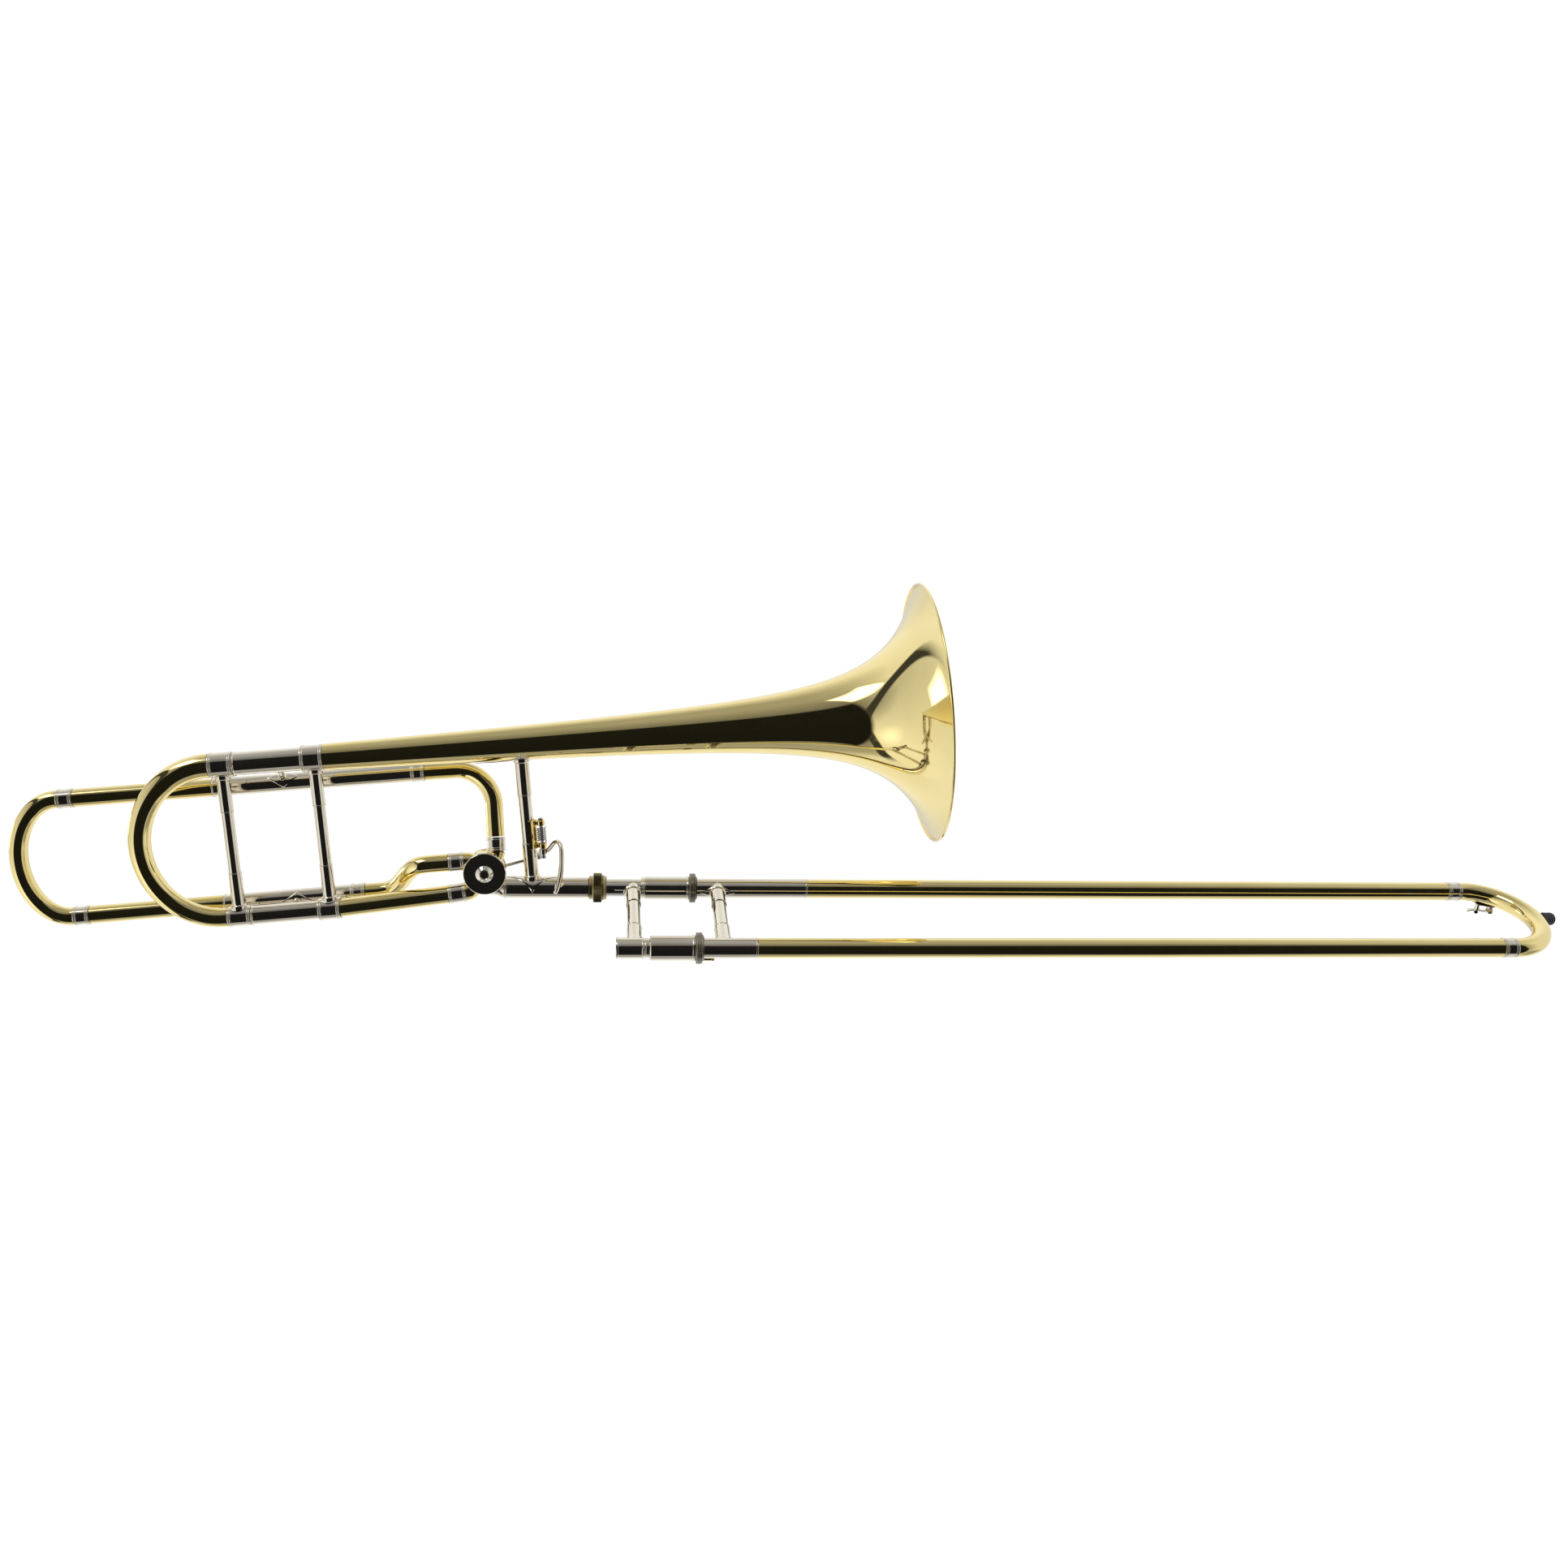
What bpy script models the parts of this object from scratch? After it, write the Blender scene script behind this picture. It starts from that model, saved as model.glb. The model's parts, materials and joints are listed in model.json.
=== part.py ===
"""A tenor trombone with an F attachment, in metres, +Z up.

The slide runs along +X. The origin is on the axis of the slide receiver, at the foot of the bell brace.
The bell section is flat in the XZ plane and is tilted up by BELL_TILT. The player's left is +Y.
Sizes below are in millimetres; MM turns them into metres.
"""

from math import atan2, cos, degrees, pi, radians, sin, sqrt

import bmesh
import bpy
from mathutils import Matrix, Vector

MM = 0.001
GAP = 0.3

# Sections and their angles
BELL_TILT = 5.23
SLIDE_ROLL = 16.25
SLIDE_SPACING = 92.0
F_SIDE = 24.0

# Bell section heights, measured square to the bell's axis
BELL_H = 119.3
LOWER_H = -3.6
F_UPPER_H = 98.0
F_LOWER_H = 2.0

# Bell flare: a slight cone plus a power law that opens at the rim
BELL_TAIL = -152.3
BELL_RIM = 332.3
RIM_RADIUS = 107.0
TAIL_RADIUS = 9.2
BORE_CONE = 0.0125
FLARE_POLE = 393.2
FLARE_POWER = 1.887
BELL_WALL = 0.7

# Facets round each kind of piece
TUBE_SIDES = 12
BEND_SIDES = 12
POST_SIDES = 12
BELL_SIDES = 30
CASING_SIDES = 20
BELL_STATIONS = 15

# Braces
SOCKET_STEP = 0.4
POST_WALL = 0.9

# Rotor valve and the crank on its rear end
VALVE = Vector((-35.65, 0.0, 17.2))
CASING_RADIUS = 15.6
CASING_BORE = 14.2
CASING_HALF = 10.6
ROTOR_RADIUS = 13.95

# Thumb trigger: a hinge pin beside the bell brace
PIN = Vector((11.8, -3.0, 29.75))
TRIGGER_TURN = 28.0
LEVER_ARM = 24.1
LINK_H = 20.5

# Slide tubes: radii
INNER_RADIUS = 7.15
INNER_BORE = 6.7
OUTER_RADIUS = 7.75
OUTER_BORE = 7.45
SLEEVE_RADIUS = 7.9
INNER_END = 787.5
UPPER_END = 791.4
LOWER_END = 792.4
CROOK_X = 805.2
CROOK_DEPTH = 42.2
BUMPER_LENGTH = 11.2
NECK_RADIUS = 7.35

# The water key sits under the crook, a little round from its upper leg. Its frame has +X along the tube.
KEY_ANGLE = 59.0
KEY_HINGE = Vector((-4.5, 0, -14.6))
KEY_PAD_X = 5.5

BRASS = ("lacquered_brass", (0.80, 0.66, 0.30), 0.12, 1.0)
NICKEL = ("nickel_silver", (0.74, 0.70, 0.64), 0.12, 1.0)
CHROME = ("chromed_tube", (0.80, 0.80, 0.82), 0.08, 1.0)
NUT_BRASS = ("bronze_nut", (0.42, 0.33, 0.14), 0.35, 1.0)
DARK_KNURL = ("dark_nickel", (0.33, 0.29, 0.25), 0.38, 1.0)
GOLD_BRASS = ("gold_brass", (0.86, 0.67, 0.26), 0.15, 1.0)
STEEL = ("spring_steel", (0.55, 0.55, 0.56), 0.3, 1.0)
RUBBER = ("black_rubber", (0.03, 0.03, 0.032), 0.7, 0.0)
CORK = ("cork", (0.55, 0.36, 0.18), 0.9, 0.0)


def clear_scene():
    for obj in list(bpy.data.objects):
        bpy.data.objects.remove(obj, do_unlink=True)


def material(finish):
    """The Principled material of a finish, made once."""
    name, colour, roughness, metallic = finish
    found = bpy.data.materials.get(name)
    if found:
        return found
    made = bpy.data.materials.new(name)
    made.use_nodes = True
    shader = made.node_tree.nodes["Principled BSDF"]
    shader.inputs["Base Color"].default_value = (*colour, 1.0)
    shader.inputs["Roughness"].default_value = roughness
    shader.inputs["Metallic"].default_value = metallic
    return made


def empty(name, parent=None, place=(0, 0, 0), turn=(0, 0, 0)):
    """An empty at a place (mm) in its parent's frame, turned by Euler angles in degrees."""
    obj = bpy.data.objects.new(name, None)
    bpy.context.scene.collection.objects.link(obj)
    obj.parent = parent
    obj.location = Vector(place) * MM
    obj.rotation_euler = [radians(angle) for angle in turn]
    return obj


def piece(name, mesh, finish, joint):
    """An object whose mesh is drawn in its section's frame, under the empty on its joint's axis."""
    bmesh.ops.scale(mesh, vec=(MM, MM, MM), verts=mesh.verts)
    bmesh.ops.recalc_face_normals(mesh, faces=mesh.faces)
    data = bpy.data.meshes.new(name)
    mesh.to_mesh(data)
    mesh.free()
    data.shade_smooth()
    data.set_sharp_from_angle(angle=radians(35))
    obj = bpy.data.objects.new(name, data)
    bpy.context.scene.collection.objects.link(obj)
    obj.parent = joint
    if joint.get("moves"):
        obj.location = -joint.location
    if finish:
        data.materials.append(material(finish))
    return obj


def combine(target, operation, mesh):
    """Adds a Boolean to target with a hidden helper mesh drawn in the same frame."""
    name = f"{target.name}_{operation.lower()}_{len(target.modifiers)}"
    helper = piece(name, mesh, None, target.parent)
    helper.hide_render = True
    helper.display_type = "WIRE"
    change = target.modifiers.new(helper.name, "BOOLEAN")
    change.operation = operation
    change.solver = "EXACT"
    change.object = helper


def loft(rings, hollow):
    """A skin over rings of points, with its last ring joined to its first when hollow, or its ends capped."""
    mesh = bmesh.new()
    loops = [[mesh.verts.new(point) for point in ring] for ring in rings]
    pairs = list(zip(loops, loops[1:]))
    if hollow:
        pairs.append((loops[-1], loops[0]))
    for near, far in pairs:
        for i in range(len(near)):
            j = (i + 1) % len(near)
            mesh.faces.new((near[i], near[j], far[j], far[i]))
    if not hollow:
        mesh.faces.new(loops[0])
        mesh.faces.new(loops[-1])
    return mesh


def ring(centre, across, up, radius, sides):
    """Points of a circle about centre, in the plane of two unit vectors."""
    return [
        centre + radius * (across * cos(2 * pi * i / sides) + up * sin(2 * pi * i / sides))
        for i in range(sides)
    ]


def square_to(direction):
    """Two unit vectors square to a direction, the first as level as it can be."""
    direction = direction.normalized()
    guide = Vector((0, 0, 1)) if abs(direction.z) < 0.9 else Vector((0, 1, 0))
    across = guide.cross(direction).normalized()
    return across, direction.cross(across)


def turned(start, direction, outer, bore=None, sides=TUBE_SIDES):
    """A turned shape. outer and bore list (distance along direction, radius); with no bore it is solid."""
    start = Vector(start)
    direction = Vector(direction).normalized()
    across, up = square_to(direction)
    outline = list(outer) + list(reversed(bore or []))
    rings = [ring(start + direction * along, across, up, radius, sides) for along, radius in outline]
    return loft(rings, bool(bore))


def tube(start, end, radius, bore, sides=TUBE_SIDES):
    """A plain straight tube between two points."""
    start, end = Vector(start), Vector(end)
    length = (end - start).length
    return turned(start, end - start, [(0, radius), (length, radius)], [(0, bore), (length, bore)], sides)


def rod(start, end, radius, sides=12):
    """A plain solid cylinder between two points."""
    start, end = Vector(start), Vector(end)
    return turned(start, end - start, [(0, radius), ((end - start).length, radius)], None, sides)


def band(low, high, radius):
    """Outline of a plain ferrule."""
    return [(low, radius), (high, radius)]


def path_rings(points, radii, sides):
    """Circles along a path, each square to it, without twist."""
    points = [Vector(point) for point in points]
    steps = [(b - a).normalized() for a, b in zip(points, points[1:])]
    tangents = [steps[0]] + [(a + b).normalized() for a, b in zip(steps, steps[1:])] + [steps[-1]]
    across, _ = square_to(tangents[0])
    rings = []
    for point, tangent, radius in zip(points, tangents, radii):
        across = (across - tangent * across.dot(tangent)).normalized()
        rings.append(ring(point, across, tangent.cross(across), radius, sides))
    return rings


def bent_tube(points, radii, wall, sides=BEND_SIDES):
    """A hollow tube along a path."""
    outer = path_rings(points, radii, sides)
    inner = path_rings(points, [radius - wall for radius in radii], sides)
    return loft(outer + inner[::-1], True)


def bent_rod(points, radii, sides=12):
    """A solid rod along a path."""
    return loft(path_rings(points, radii, sides), False)


def smooth_path(points, parts):
    """A Catmull-Rom curve through points, each stretch cut into parts."""
    points = [Vector(point) for point in points]
    ends = [2 * points[0] - points[1]] + points + [2 * points[-1] - points[-2]]
    path = []
    for before, start, end, after in zip(ends, ends[1:], ends[2:], ends[3:]):
        for i in range(parts):
            t = i / parts
            path.append(
                0.5
                * (
                    2 * start
                    + (end - before) * t
                    + (2 * before - 5 * start + 4 * end - after) * t**2
                    + (3 * start - before - 3 * end + after) * t**3
                )
            )
    return path + [points[-1]]


def arc(centre, across, up, radius_across, radius_up, first, last, parts):
    """Points of an elliptic arc from first to last degrees."""
    centre, across, up = Vector(centre), Vector(across), Vector(up)
    angles = [radians(first + (last - first) * i / parts) for i in range(parts + 1)]
    return [centre + across * radius_across * cos(a) + up * radius_up * sin(a) for a in angles]


def brace(name, joint, foot, foot_tube, head, head_tube, radius, socket=0.27):
    """A hollow brace between two tubes, with a wider socket at each end that fits the tube.

    foot_tube and head_tube are (direction of the tube, its radius). socket is a share of the clear length.
    """
    foot, head = Vector(foot), Vector(head)
    line = (head - foot).normalized()
    length = (head - foot).length
    clear = length - foot_tube[1] - head_tube[1]
    start, stop = foot_tube[1] * 0.6, length - head_tube[1] * 0.6
    low, high = foot_tube[1] + clear * socket, length - head_tube[1] - clear * socket
    wide = radius + SOCKET_STEP
    outline = [(start, wide), (low, wide), (low, radius), (high, radius), (high, wide), (stop, wide)]
    obj = piece(name, turned(foot, line, outline, None, POST_SIDES), NICKEL, joint)
    for point, (direction, tube_radius) in ((foot, foot_tube), (head, head_tube)):
        along = Vector(direction).normalized() * (radius + 4)
        combine(obj, "DIFFERENCE", rod(point - along, point + along, tube_radius + 2 * GAP, 20))
    combine(obj, "DIFFERENCE", rod(foot, head, radius - POST_WALL, 8))


def lower_leg_height(s):
    """Height of the lower main leg, which rises slightly from the tuning slide to the valve."""
    start, end = -152.3, -53.2
    return LOWER_H + (s - start) / (end - start) * 4.3


def flare_radius(s):
    """Outer radius of the bell at distance s along its axis."""
    cone = TAIL_RADIUS + BORE_CONE * (s - BELL_TAIL)
    cone_at_rim = TAIL_RADIUS + BORE_CONE * (BELL_RIM - BELL_TAIL)
    opening = ((FLARE_POLE - BELL_RIM) / (FLARE_POLE - s)) ** FLARE_POWER
    return cone + (RIM_RADIUS - cone_at_rim) * opening


def bell(joint):
    """The bell: a spun flare with a wired rim."""
    spots = []
    for i in range(BELL_STATIONS):
        t = i / (BELL_STATIONS - 1)
        s = BELL_TAIL + (BELL_RIM - BELL_TAIL) * (1 - (1 - t) ** 1.9)
        slope = (flare_radius(s + 0.5) - flare_radius(s - 0.5)) if s < BELL_RIM - 1 else 3.0
        turn = sqrt(1 + slope**2)
        spots.append((s, flare_radius(s), slope / turn, 1 / turn))
    outer = [(s, r) for s, r, _, _ in spots]
    bore = [(s + dx * BELL_WALL, r - dr * BELL_WALL) for s, r, dx, dr in spots]
    rim = [(BELL_RIM, RIM_RADIUS + 1.0), (BELL_RIM + 1.2, RIM_RADIUS)]
    flare = turned((0, 0, BELL_H), (1, 0, 0), outer[:-1] + rim, bore, BELL_SIDES)
    piece("bell", flare, BRASS, joint)


def main_tubing(joint):
    """Fixed tubes of the bell section between the tuning slide and the valve."""
    for side, height, radius, bore in (("upper", BELL_H, 9.2, 8.8), ("lower", LOWER_H, 7.5, 7.05)):
        ferrule = radius + 1.3
        outer = [(-222.0, radius + 0.5), (-220.8, radius + 0.5), (-220.8, radius), (-170.0, radius)]
        outer += band(-169.9, -152.6, ferrule)
        socket = turned((0, 0, height), (1, 0, 0), outer, [(-222.0, bore), (-152.6, bore)])
        piece(f"{side}_tuning_socket", socket, NICKEL, joint)
    leg_start = (-152.3, 0, lower_leg_height(-152.3))
    leg_end = (-66.9, 0, lower_leg_height(-66.9))
    piece("lower_leg_tube", tube(leg_start, leg_end, 7.4, 6.95), BRASS, joint)


def valve(joint):
    """Rotor casing with its port knuckles, front cap and rear bearing plate."""
    y = Vector((0, 1, 0))
    drum = rod(VALVE - y * CASING_HALF, VALVE + y * CASING_HALF, CASING_RADIUS, CASING_SIDES)
    casing = piece("valve_casing", drum, BRASS, joint)
    lower_leg_port = [(-53.1, 0, 0.9), (-49.5, 0, 1.6), (-46.5, 0, 4.2), (-43.0, 0, 8.5)]
    f_lower_port = [(-52.5, 0, 26.3), (-48.8, 0, 26.2), (-45.0, 0, 24.2), (-42.0, 0, 21.5)]
    f_upper_port = [(-25.6, 1.2, 33.1), (-27.0, 0.7, 29.5), (-30.0, 0.1, 25.5), (-32.5, 0, 21.5)]
    # Path of each knuckle, its radius, the mouth of its ferrule and the ferrule's radius
    knuckles = (
        (lower_leg_port, 7.3, (-66.6, 0, 0.1), 7.9),
        (f_lower_port, 7.1, (-64.3, 0, 26.3), 7.6),
        (f_upper_port, 7.1, (-25.4, 3.4, 43.4), 7.7),
    )
    for points, radius, mouth, ferrule_radius in knuckles:
        knuckle = [Vector(point) for point in points]
        first, second, mouth = Vector(points[0]), Vector(points[1]), Vector(mouth)
        end = first + (second - first).normalized() * 0.8
        combine(casing, "UNION", bent_rod(knuckle, [radius] * len(knuckle), BEND_SIDES))
        outline = band(0, (end - mouth).length, ferrule_radius)
        combine(casing, "UNION", turned(mouth, end - mouth, outline, None, BEND_SIDES))
    for points, radius, mouth, _ in knuckles:
        mouth, first = Vector(mouth), Vector(points[0])
        beyond = mouth + (mouth - first).normalized()
        bore = [beyond] + points
        combine(casing, "DIFFERENCE", bent_rod(bore, [radius - 0.6] * len(bore), BEND_SIDES))
    combine(casing, "DIFFERENCE", rod(VALVE - y * 12, VALVE + y * 12, CASING_BORE, CASING_SIDES))
    receiver_port = VALVE + Vector((14.0, 0, -14.2))
    combine(casing, "DIFFERENCE", rod(VALVE + Vector((4.0, 0, -6.0)), receiver_port, 6.2, BEND_SIDES))

    cap = [(0, 4.3), (2.5, 6.8), (2.5, 16.6), (3.0, 17.1), (4.9, 17.1)]
    piece("valve_cap", turned(VALVE - y * 15.9, y, cap, None, 24), NICKEL, joint)
    plate = [(0, CASING_RADIUS), (2.4, CASING_RADIUS), (2.4, 5.2), (4.4, 5.2)]
    back = turned(VALVE + y * 10.9, y, plate, [(0, 3.25), (4.4, 3.25)], CASING_SIDES)
    piece("valve_back_plate", back, BRASS, joint)
    for name, angle in (("stop_cork_upper", 25.0), ("stop_cork_lower", 155.0)):
        out = Vector((cos(radians(angle)), 0, sin(radians(angle))))
        block = VALVE + out * 11.0
        piece(name, rod(block + y * 13.6, block + y * 17.5, 2.2, 10), CORK, joint)


def receiver(joint):
    """The slide receiver on the slide's axis, cut to fit round the valve casing."""
    cone = [(-36, 5.6), (-28, 6.6), (-23, 8.3)]
    bead = [(-22.4, 9.0), (-21.0, 9.0), (-20.6, 8.6)]
    thread = [(45.6, 8.6), (45.6, 7.8), (54, 7.8)]
    outer = cone + bead + thread
    bore = [(-36, 5.0), (17.5, 6.3), (17.5, 7.55), (54, 7.55)]
    obj = piece("slide_receiver", turned((0, 0, 0), (1, 0, 0), outer, bore, TUBE_SIDES), NICKEL, joint)
    tilt = Matrix.Rotation(-radians(BELL_TILT), 3, "Y")
    axis_point = tilt @ VALVE
    y = Vector((0, 1, 0))
    room = rod(axis_point - y * 20, axis_point + y * 20, CASING_RADIUS + 1.5 * GAP, CASING_SIDES)
    combine(obj, "DIFFERENCE", room)


def drifted(points, end_y, end_slope):
    """A path moved over in Y: it starts out straight and arrives at end_y, leaning by end_slope."""
    lengths = [0.0]
    for a, b in zip(points, points[1:]):
        lengths.append(lengths[-1] + (b - a).length)
    total = lengths[-1]
    start_y = points[0].y
    path = []
    for point, length in zip(points, lengths):
        t = length / total
        y = start_y + (end_y - start_y) * (3 * t**2 - 2 * t**3) + end_slope * total * (t**3 - t**2)
        path.append(Vector((point.x, y, point.z)))
    return path


def f_attachment(joint):
    """Fixed tubes of the F attachment, which lies to the player's left of the main tubes."""
    bore = 6.9
    upper = [(-246.0, 7.9), (-244.6, 7.9), (-244.6, 7.3), (-90.0, 7.3)] + band(-89.9, -78.9, 7.7)
    lower = [(-248.0, 7.9), (-246.6, 7.9), (-246.6, 7.3), (-147.7, 7.3)] + band(-147.6, -135.9, 7.7)
    for side, height, outer in (("upper", F_UPPER_H, upper), ("lower", F_LOWER_H, lower)):
        ends = [(outer[0][0], bore), (outer[-1][0], bore)]
        sleeve = turned((0, F_SIDE, height), (1, 0, 0), outer, ends)
        piece(f"f_{side}_sleeve", sleeve, NICKEL, joint)
    path = [Vector((-74.5, F_SIDE, F_UPPER_H)), Vector((-64, F_SIDE, F_UPPER_H))]
    path += arc((-54, F_SIDE, F_UPPER_H - 29), (1, 0, 0), (0, 0, 1), 29, 29, 90, 0, 6)
    path += [Vector((-25.1, F_SIDE, 60.6)), Vector((-25.25, F_SIDE, 52.2)), Vector((-25.4, F_SIDE, 43.9))]
    path = [Vector((-78.6, F_SIDE, F_UPPER_H))] + drifted(path, 3.5, -0.21)
    piece("f_upper_bend", bent_tube(path, [7.1] * len(path), 0.5), BRASS, joint)
    s_bend = smooth_path(
        [
            (-135.6, F_SIDE, F_LOWER_H),
            (-122, F_SIDE, F_LOWER_H),
            (-114, 22.6, 3.6),
            (-106.5, 17.3, 9.6),
            (-99, 9.6, 18.2),
            (-91.5, 3.2, 24.2),
            (-83, 0.2, 26.2),
            (-64.6, 0, 26.3),
        ],
        1,
    )
    piece("f_lower_bend", bent_tube(s_bend, [7.1] * len(s_bend), 0.5), BRASS, joint)


def fixed_braces(joint):
    """Braces of the bell section: the hand grip, the body brace and two short ones to the F attachment."""
    along = (1, 0, 0)
    slide_axis = (cos(radians(BELL_TILT)), 0, -sin(radians(BELL_TILT)))
    grip = 0.75
    receiver_tube, bell_tube = (slide_axis, 8.6), (along, flare_radius(grip))
    brace("bell_brace", joint, (grip, 0, 0), receiver_tube, (grip, 0, BELL_H), bell_tube, 5.2)
    brace("body_brace", joint, (-160.5, 0, LOWER_H), (along, 8.8), (-160.5, 0, BELL_H), (along, 10.5), 4.7)
    pairs = (("upper", BELL_H, 9.2, F_UPPER_H), ("lower", LOWER_H, 7.5, F_LOWER_H))
    for side, main_h, main_r, f_h in pairs:
        main, other = (-190.0, 0, main_h), (-190.0, F_SIDE, f_h)
        brace(f"{side}_depth_brace", joint, main, (along, main_r), other, (along, 7.3), 3.6)


def tuning_slide(joint):
    """The main tuning slide, which pulls back out of the two sockets."""
    mouth_s = -240.6
    centre = (mouth_s - 1.5, 0, (BELL_H + LOWER_H) / 2)
    half = (BELL_H - LOWER_H) / 2
    parts = 14
    path = [Vector((mouth_s, 0, BELL_H))]
    path += arc(centre, (-1, 0, 0), (0, 0, 1), 58.7, half, 90, -90, parts)
    path += [Vector((mouth_s, 0, LOWER_H))]
    radii = [9.6 - 2.0 * i / (len(path) - 1) for i in range(len(path))]
    piece("tuning_bow", bent_tube(path, radii, 0.6), BRASS, joint)
    for side, height, radius, bore, low, high in (
        ("upper", BELL_H, 9.7, 8.85, -240.3, -222.3),
        ("lower", LOWER_H, 7.8, 7.1, -240.3, -222.3),
    ):
        ferrule = turned((0, 0, height), (1, 0, 0), band(low, high, radius), [(low, bore), (high, bore)])
        piece(f"tuning_{side}_ferrule", ferrule, NICKEL, joint)
        leg = tube((low, 0, height), (-156, 0, height), bore - 0.3, bore - 0.75)
        piece(f"tuning_{side}_leg", leg, NICKEL, joint)
    along = (1, 0, 0)
    foot, head = (-231.3, 0, LOWER_H), (-231.3, 0, BELL_H)
    brace("tuning_brace", joint, foot, (along, 7.8), head, (along, 9.7), 4.7)


def f_tuning_slide(joint):
    """The F attachment's own tuning slide: a flattened bow on two straight legs."""
    bow_s, depth, low, high = -365.8, 34.7, F_LOWER_H, F_UPPER_H
    centre = (bow_s - 1.0, F_SIDE, (low + high) / 2)
    path = [Vector((bow_s, F_SIDE, high))]
    path += arc(centre, (-1, 0, 0), (0, 0, 1), depth, (high - low) / 2, 90, -90, 12)
    path += [Vector((bow_s, F_SIDE, low))]
    piece("f_bow", bent_tube(path, [7.1] * len(path), 0.5), BRASS, joint)
    ferrule_s, leg_s = bow_s + GAP, bow_s + 13.0
    seam = leg_s - GAP
    for side, height, sleeve in (("upper", high, -246.0), ("lower", low, -248.0)):
        place = (0, F_SIDE, height)
        ferrule = turned(place, (1, 0, 0), band(ferrule_s, seam, 7.6), [(ferrule_s, 6.6), (seam, 6.6)])
        piece(f"f_{side}_bow_ferrule", ferrule, NICKEL, joint)
        step = sleeve - GAP
        outer = [(leg_s, 7.2), (step, 7.2), (step, 6.65), (-166.0, 6.65)]
        leg = turned(place, (1, 0, 0), outer, [(leg_s, 6.2), (-166.0, 6.2)])
        piece(f"f_{side}_leg", leg, BRASS, joint)


def rotor(joint):
    """The rotor plug with its two passages, its shaft, and the crank that the linkage turns."""
    y = Vector((0, 1, 0))
    outline = [(0, 3.0), (0.4, ROTOR_RADIUS), (19.6, ROTOR_RADIUS), (20.0, 3.0), (26.2, 3.0)]
    plug = piece("rotor", turned(VALVE - y * 10.0, y, outline, None, 20), BRASS, joint)
    for side in (-1, 1):
        groove = VALVE + Vector((0, 0, side * 11.5))
        reach = Vector((20, 0, 0))
        combine(plug, "DIFFERENCE", rod(groove - reach, groove + reach, 6.3, BEND_SIDES))

    crank = LEVER_ARM * 2 * sin(radians(TRIGGER_TURN / 2)) / sqrt(2)
    arm = piece("stop_arm", rod(VALVE + y * 16.5, VALVE + y * 19.2, 4.4, 20), GOLD_BRASS, joint)
    throw = VALVE + Vector((-cos(radians(45)), 0, -sin(radians(45)))) * crank
    finger = VALVE + Vector((cos(radians(45)), 0, sin(radians(45)))) * 10.5
    bar = [throw + y * 17.8, VALVE + y * 17.9, finger + y * 17.8]
    combine(arm, "UNION", bent_rod(bar, [1.25, 1.7, 1.25], 10))
    combine(arm, "UNION", rod(throw + y * 16.4, throw + y * 19.1, 1.9, 14))
    combine(arm, "DIFFERENCE", rod(VALVE + y * 10, VALVE + y * 24, 3.1, 20))


def trigger_bracket(joint):
    """The saddle on the bell brace that carries the thumb trigger, with hinge pin and return spring."""
    up = Vector((0, 0, 1))
    grip = Vector((0.75, 0, 0))
    radius = 5.45 + GAP
    turns = [radians(-80 + 160 * i / 10) for i in range(11)]
    rings = []
    for height in (32.6, 56.4):
        centre = grip + up * height
        outside = [centre + Vector((cos(a), sin(a), 0)) * (radius + 1.5) for a in turns]
        inside = [centre + Vector((cos(a), sin(a), 0)) * radius for a in turns]
        rings.append(outside + inside[::-1])
    saddle = piece("trigger_bracket", loft(rings, False), GOLD_BRASS, joint)
    pin = Vector((PIN.x, PIN.y, 0))
    for height in (35.0, 53.6):
        root = Vector((6.9, -1.0, height))
        tip = pin + up * height
        combine(saddle, "UNION", bent_rod([root, (root + tip) / 2, tip], [2.1, 1.7, 1.9], 12))
        combine(saddle, "UNION", rod(pin + up * (height - 1.9), pin + up * (height + 1.9), 2.9, 16))
    combine(saddle, "DIFFERENCE", rod(pin + up * 20, pin + up * 60, 1.6, 12))
    outline = [(0, 2.0), (2.0, 2.0), (2.0, 1.35), (31.9, 1.35), (31.9, 2.3), (33.4, 2.0)]
    piece("trigger_pin", turned(pin + up * 24.2, up, outline, None, 12), STEEL, joint)
    turns, wire, parts = 5, 0.5, 8
    count = turns * parts
    coil = []
    for i in range(count + 1):
        angle = 2 * pi * i / parts
        coil.append(pin + Vector((cos(angle) * 2.4, sin(angle) * 2.4, 38.4 + 11.4 * i / count)))
    piece("trigger_spring", bent_rod(coil, [wire] * len(coil), 5), STEEL, joint)


def ribbon(points, widths, thicknesses):
    """A flat bar along points whose width runs along Y."""
    rings = []
    points = [Vector(point) for point in points]
    steps = [(b - a).normalized() for a, b in zip(points, points[1:])]
    tangents = [steps[0]] + [(a + b).normalized() for a, b in zip(steps, steps[1:])] + [steps[-1]]
    for point, tangent, width, thickness in zip(points, tangents, widths, thicknesses):
        wide = Vector((0, 1, 0))
        wide = (wide - tangent * wide.dot(tangent)).normalized()
        thin = tangent.cross(wide)
        rings.append(ring(point, wide * width / 2, thin * thickness / 2, 1.0, 10))
    return loft(rings, False)


def link_ends():
    """Where the linkage rod meets the lever and the crank, with the trigger at rest."""
    swing = radians(TRIGGER_TURN / 2)
    lever_end = Vector((PIN.x - LEVER_ARM * sin(swing), PIN.y + LEVER_ARM * cos(swing), LINK_H))
    reach = LEVER_ARM * 2 * sin(swing) / sqrt(2) * cos(radians(45))
    crank_end = Vector((VALVE.x - reach, lever_end.y, VALVE.z - reach))
    return lever_end, crank_end


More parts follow.
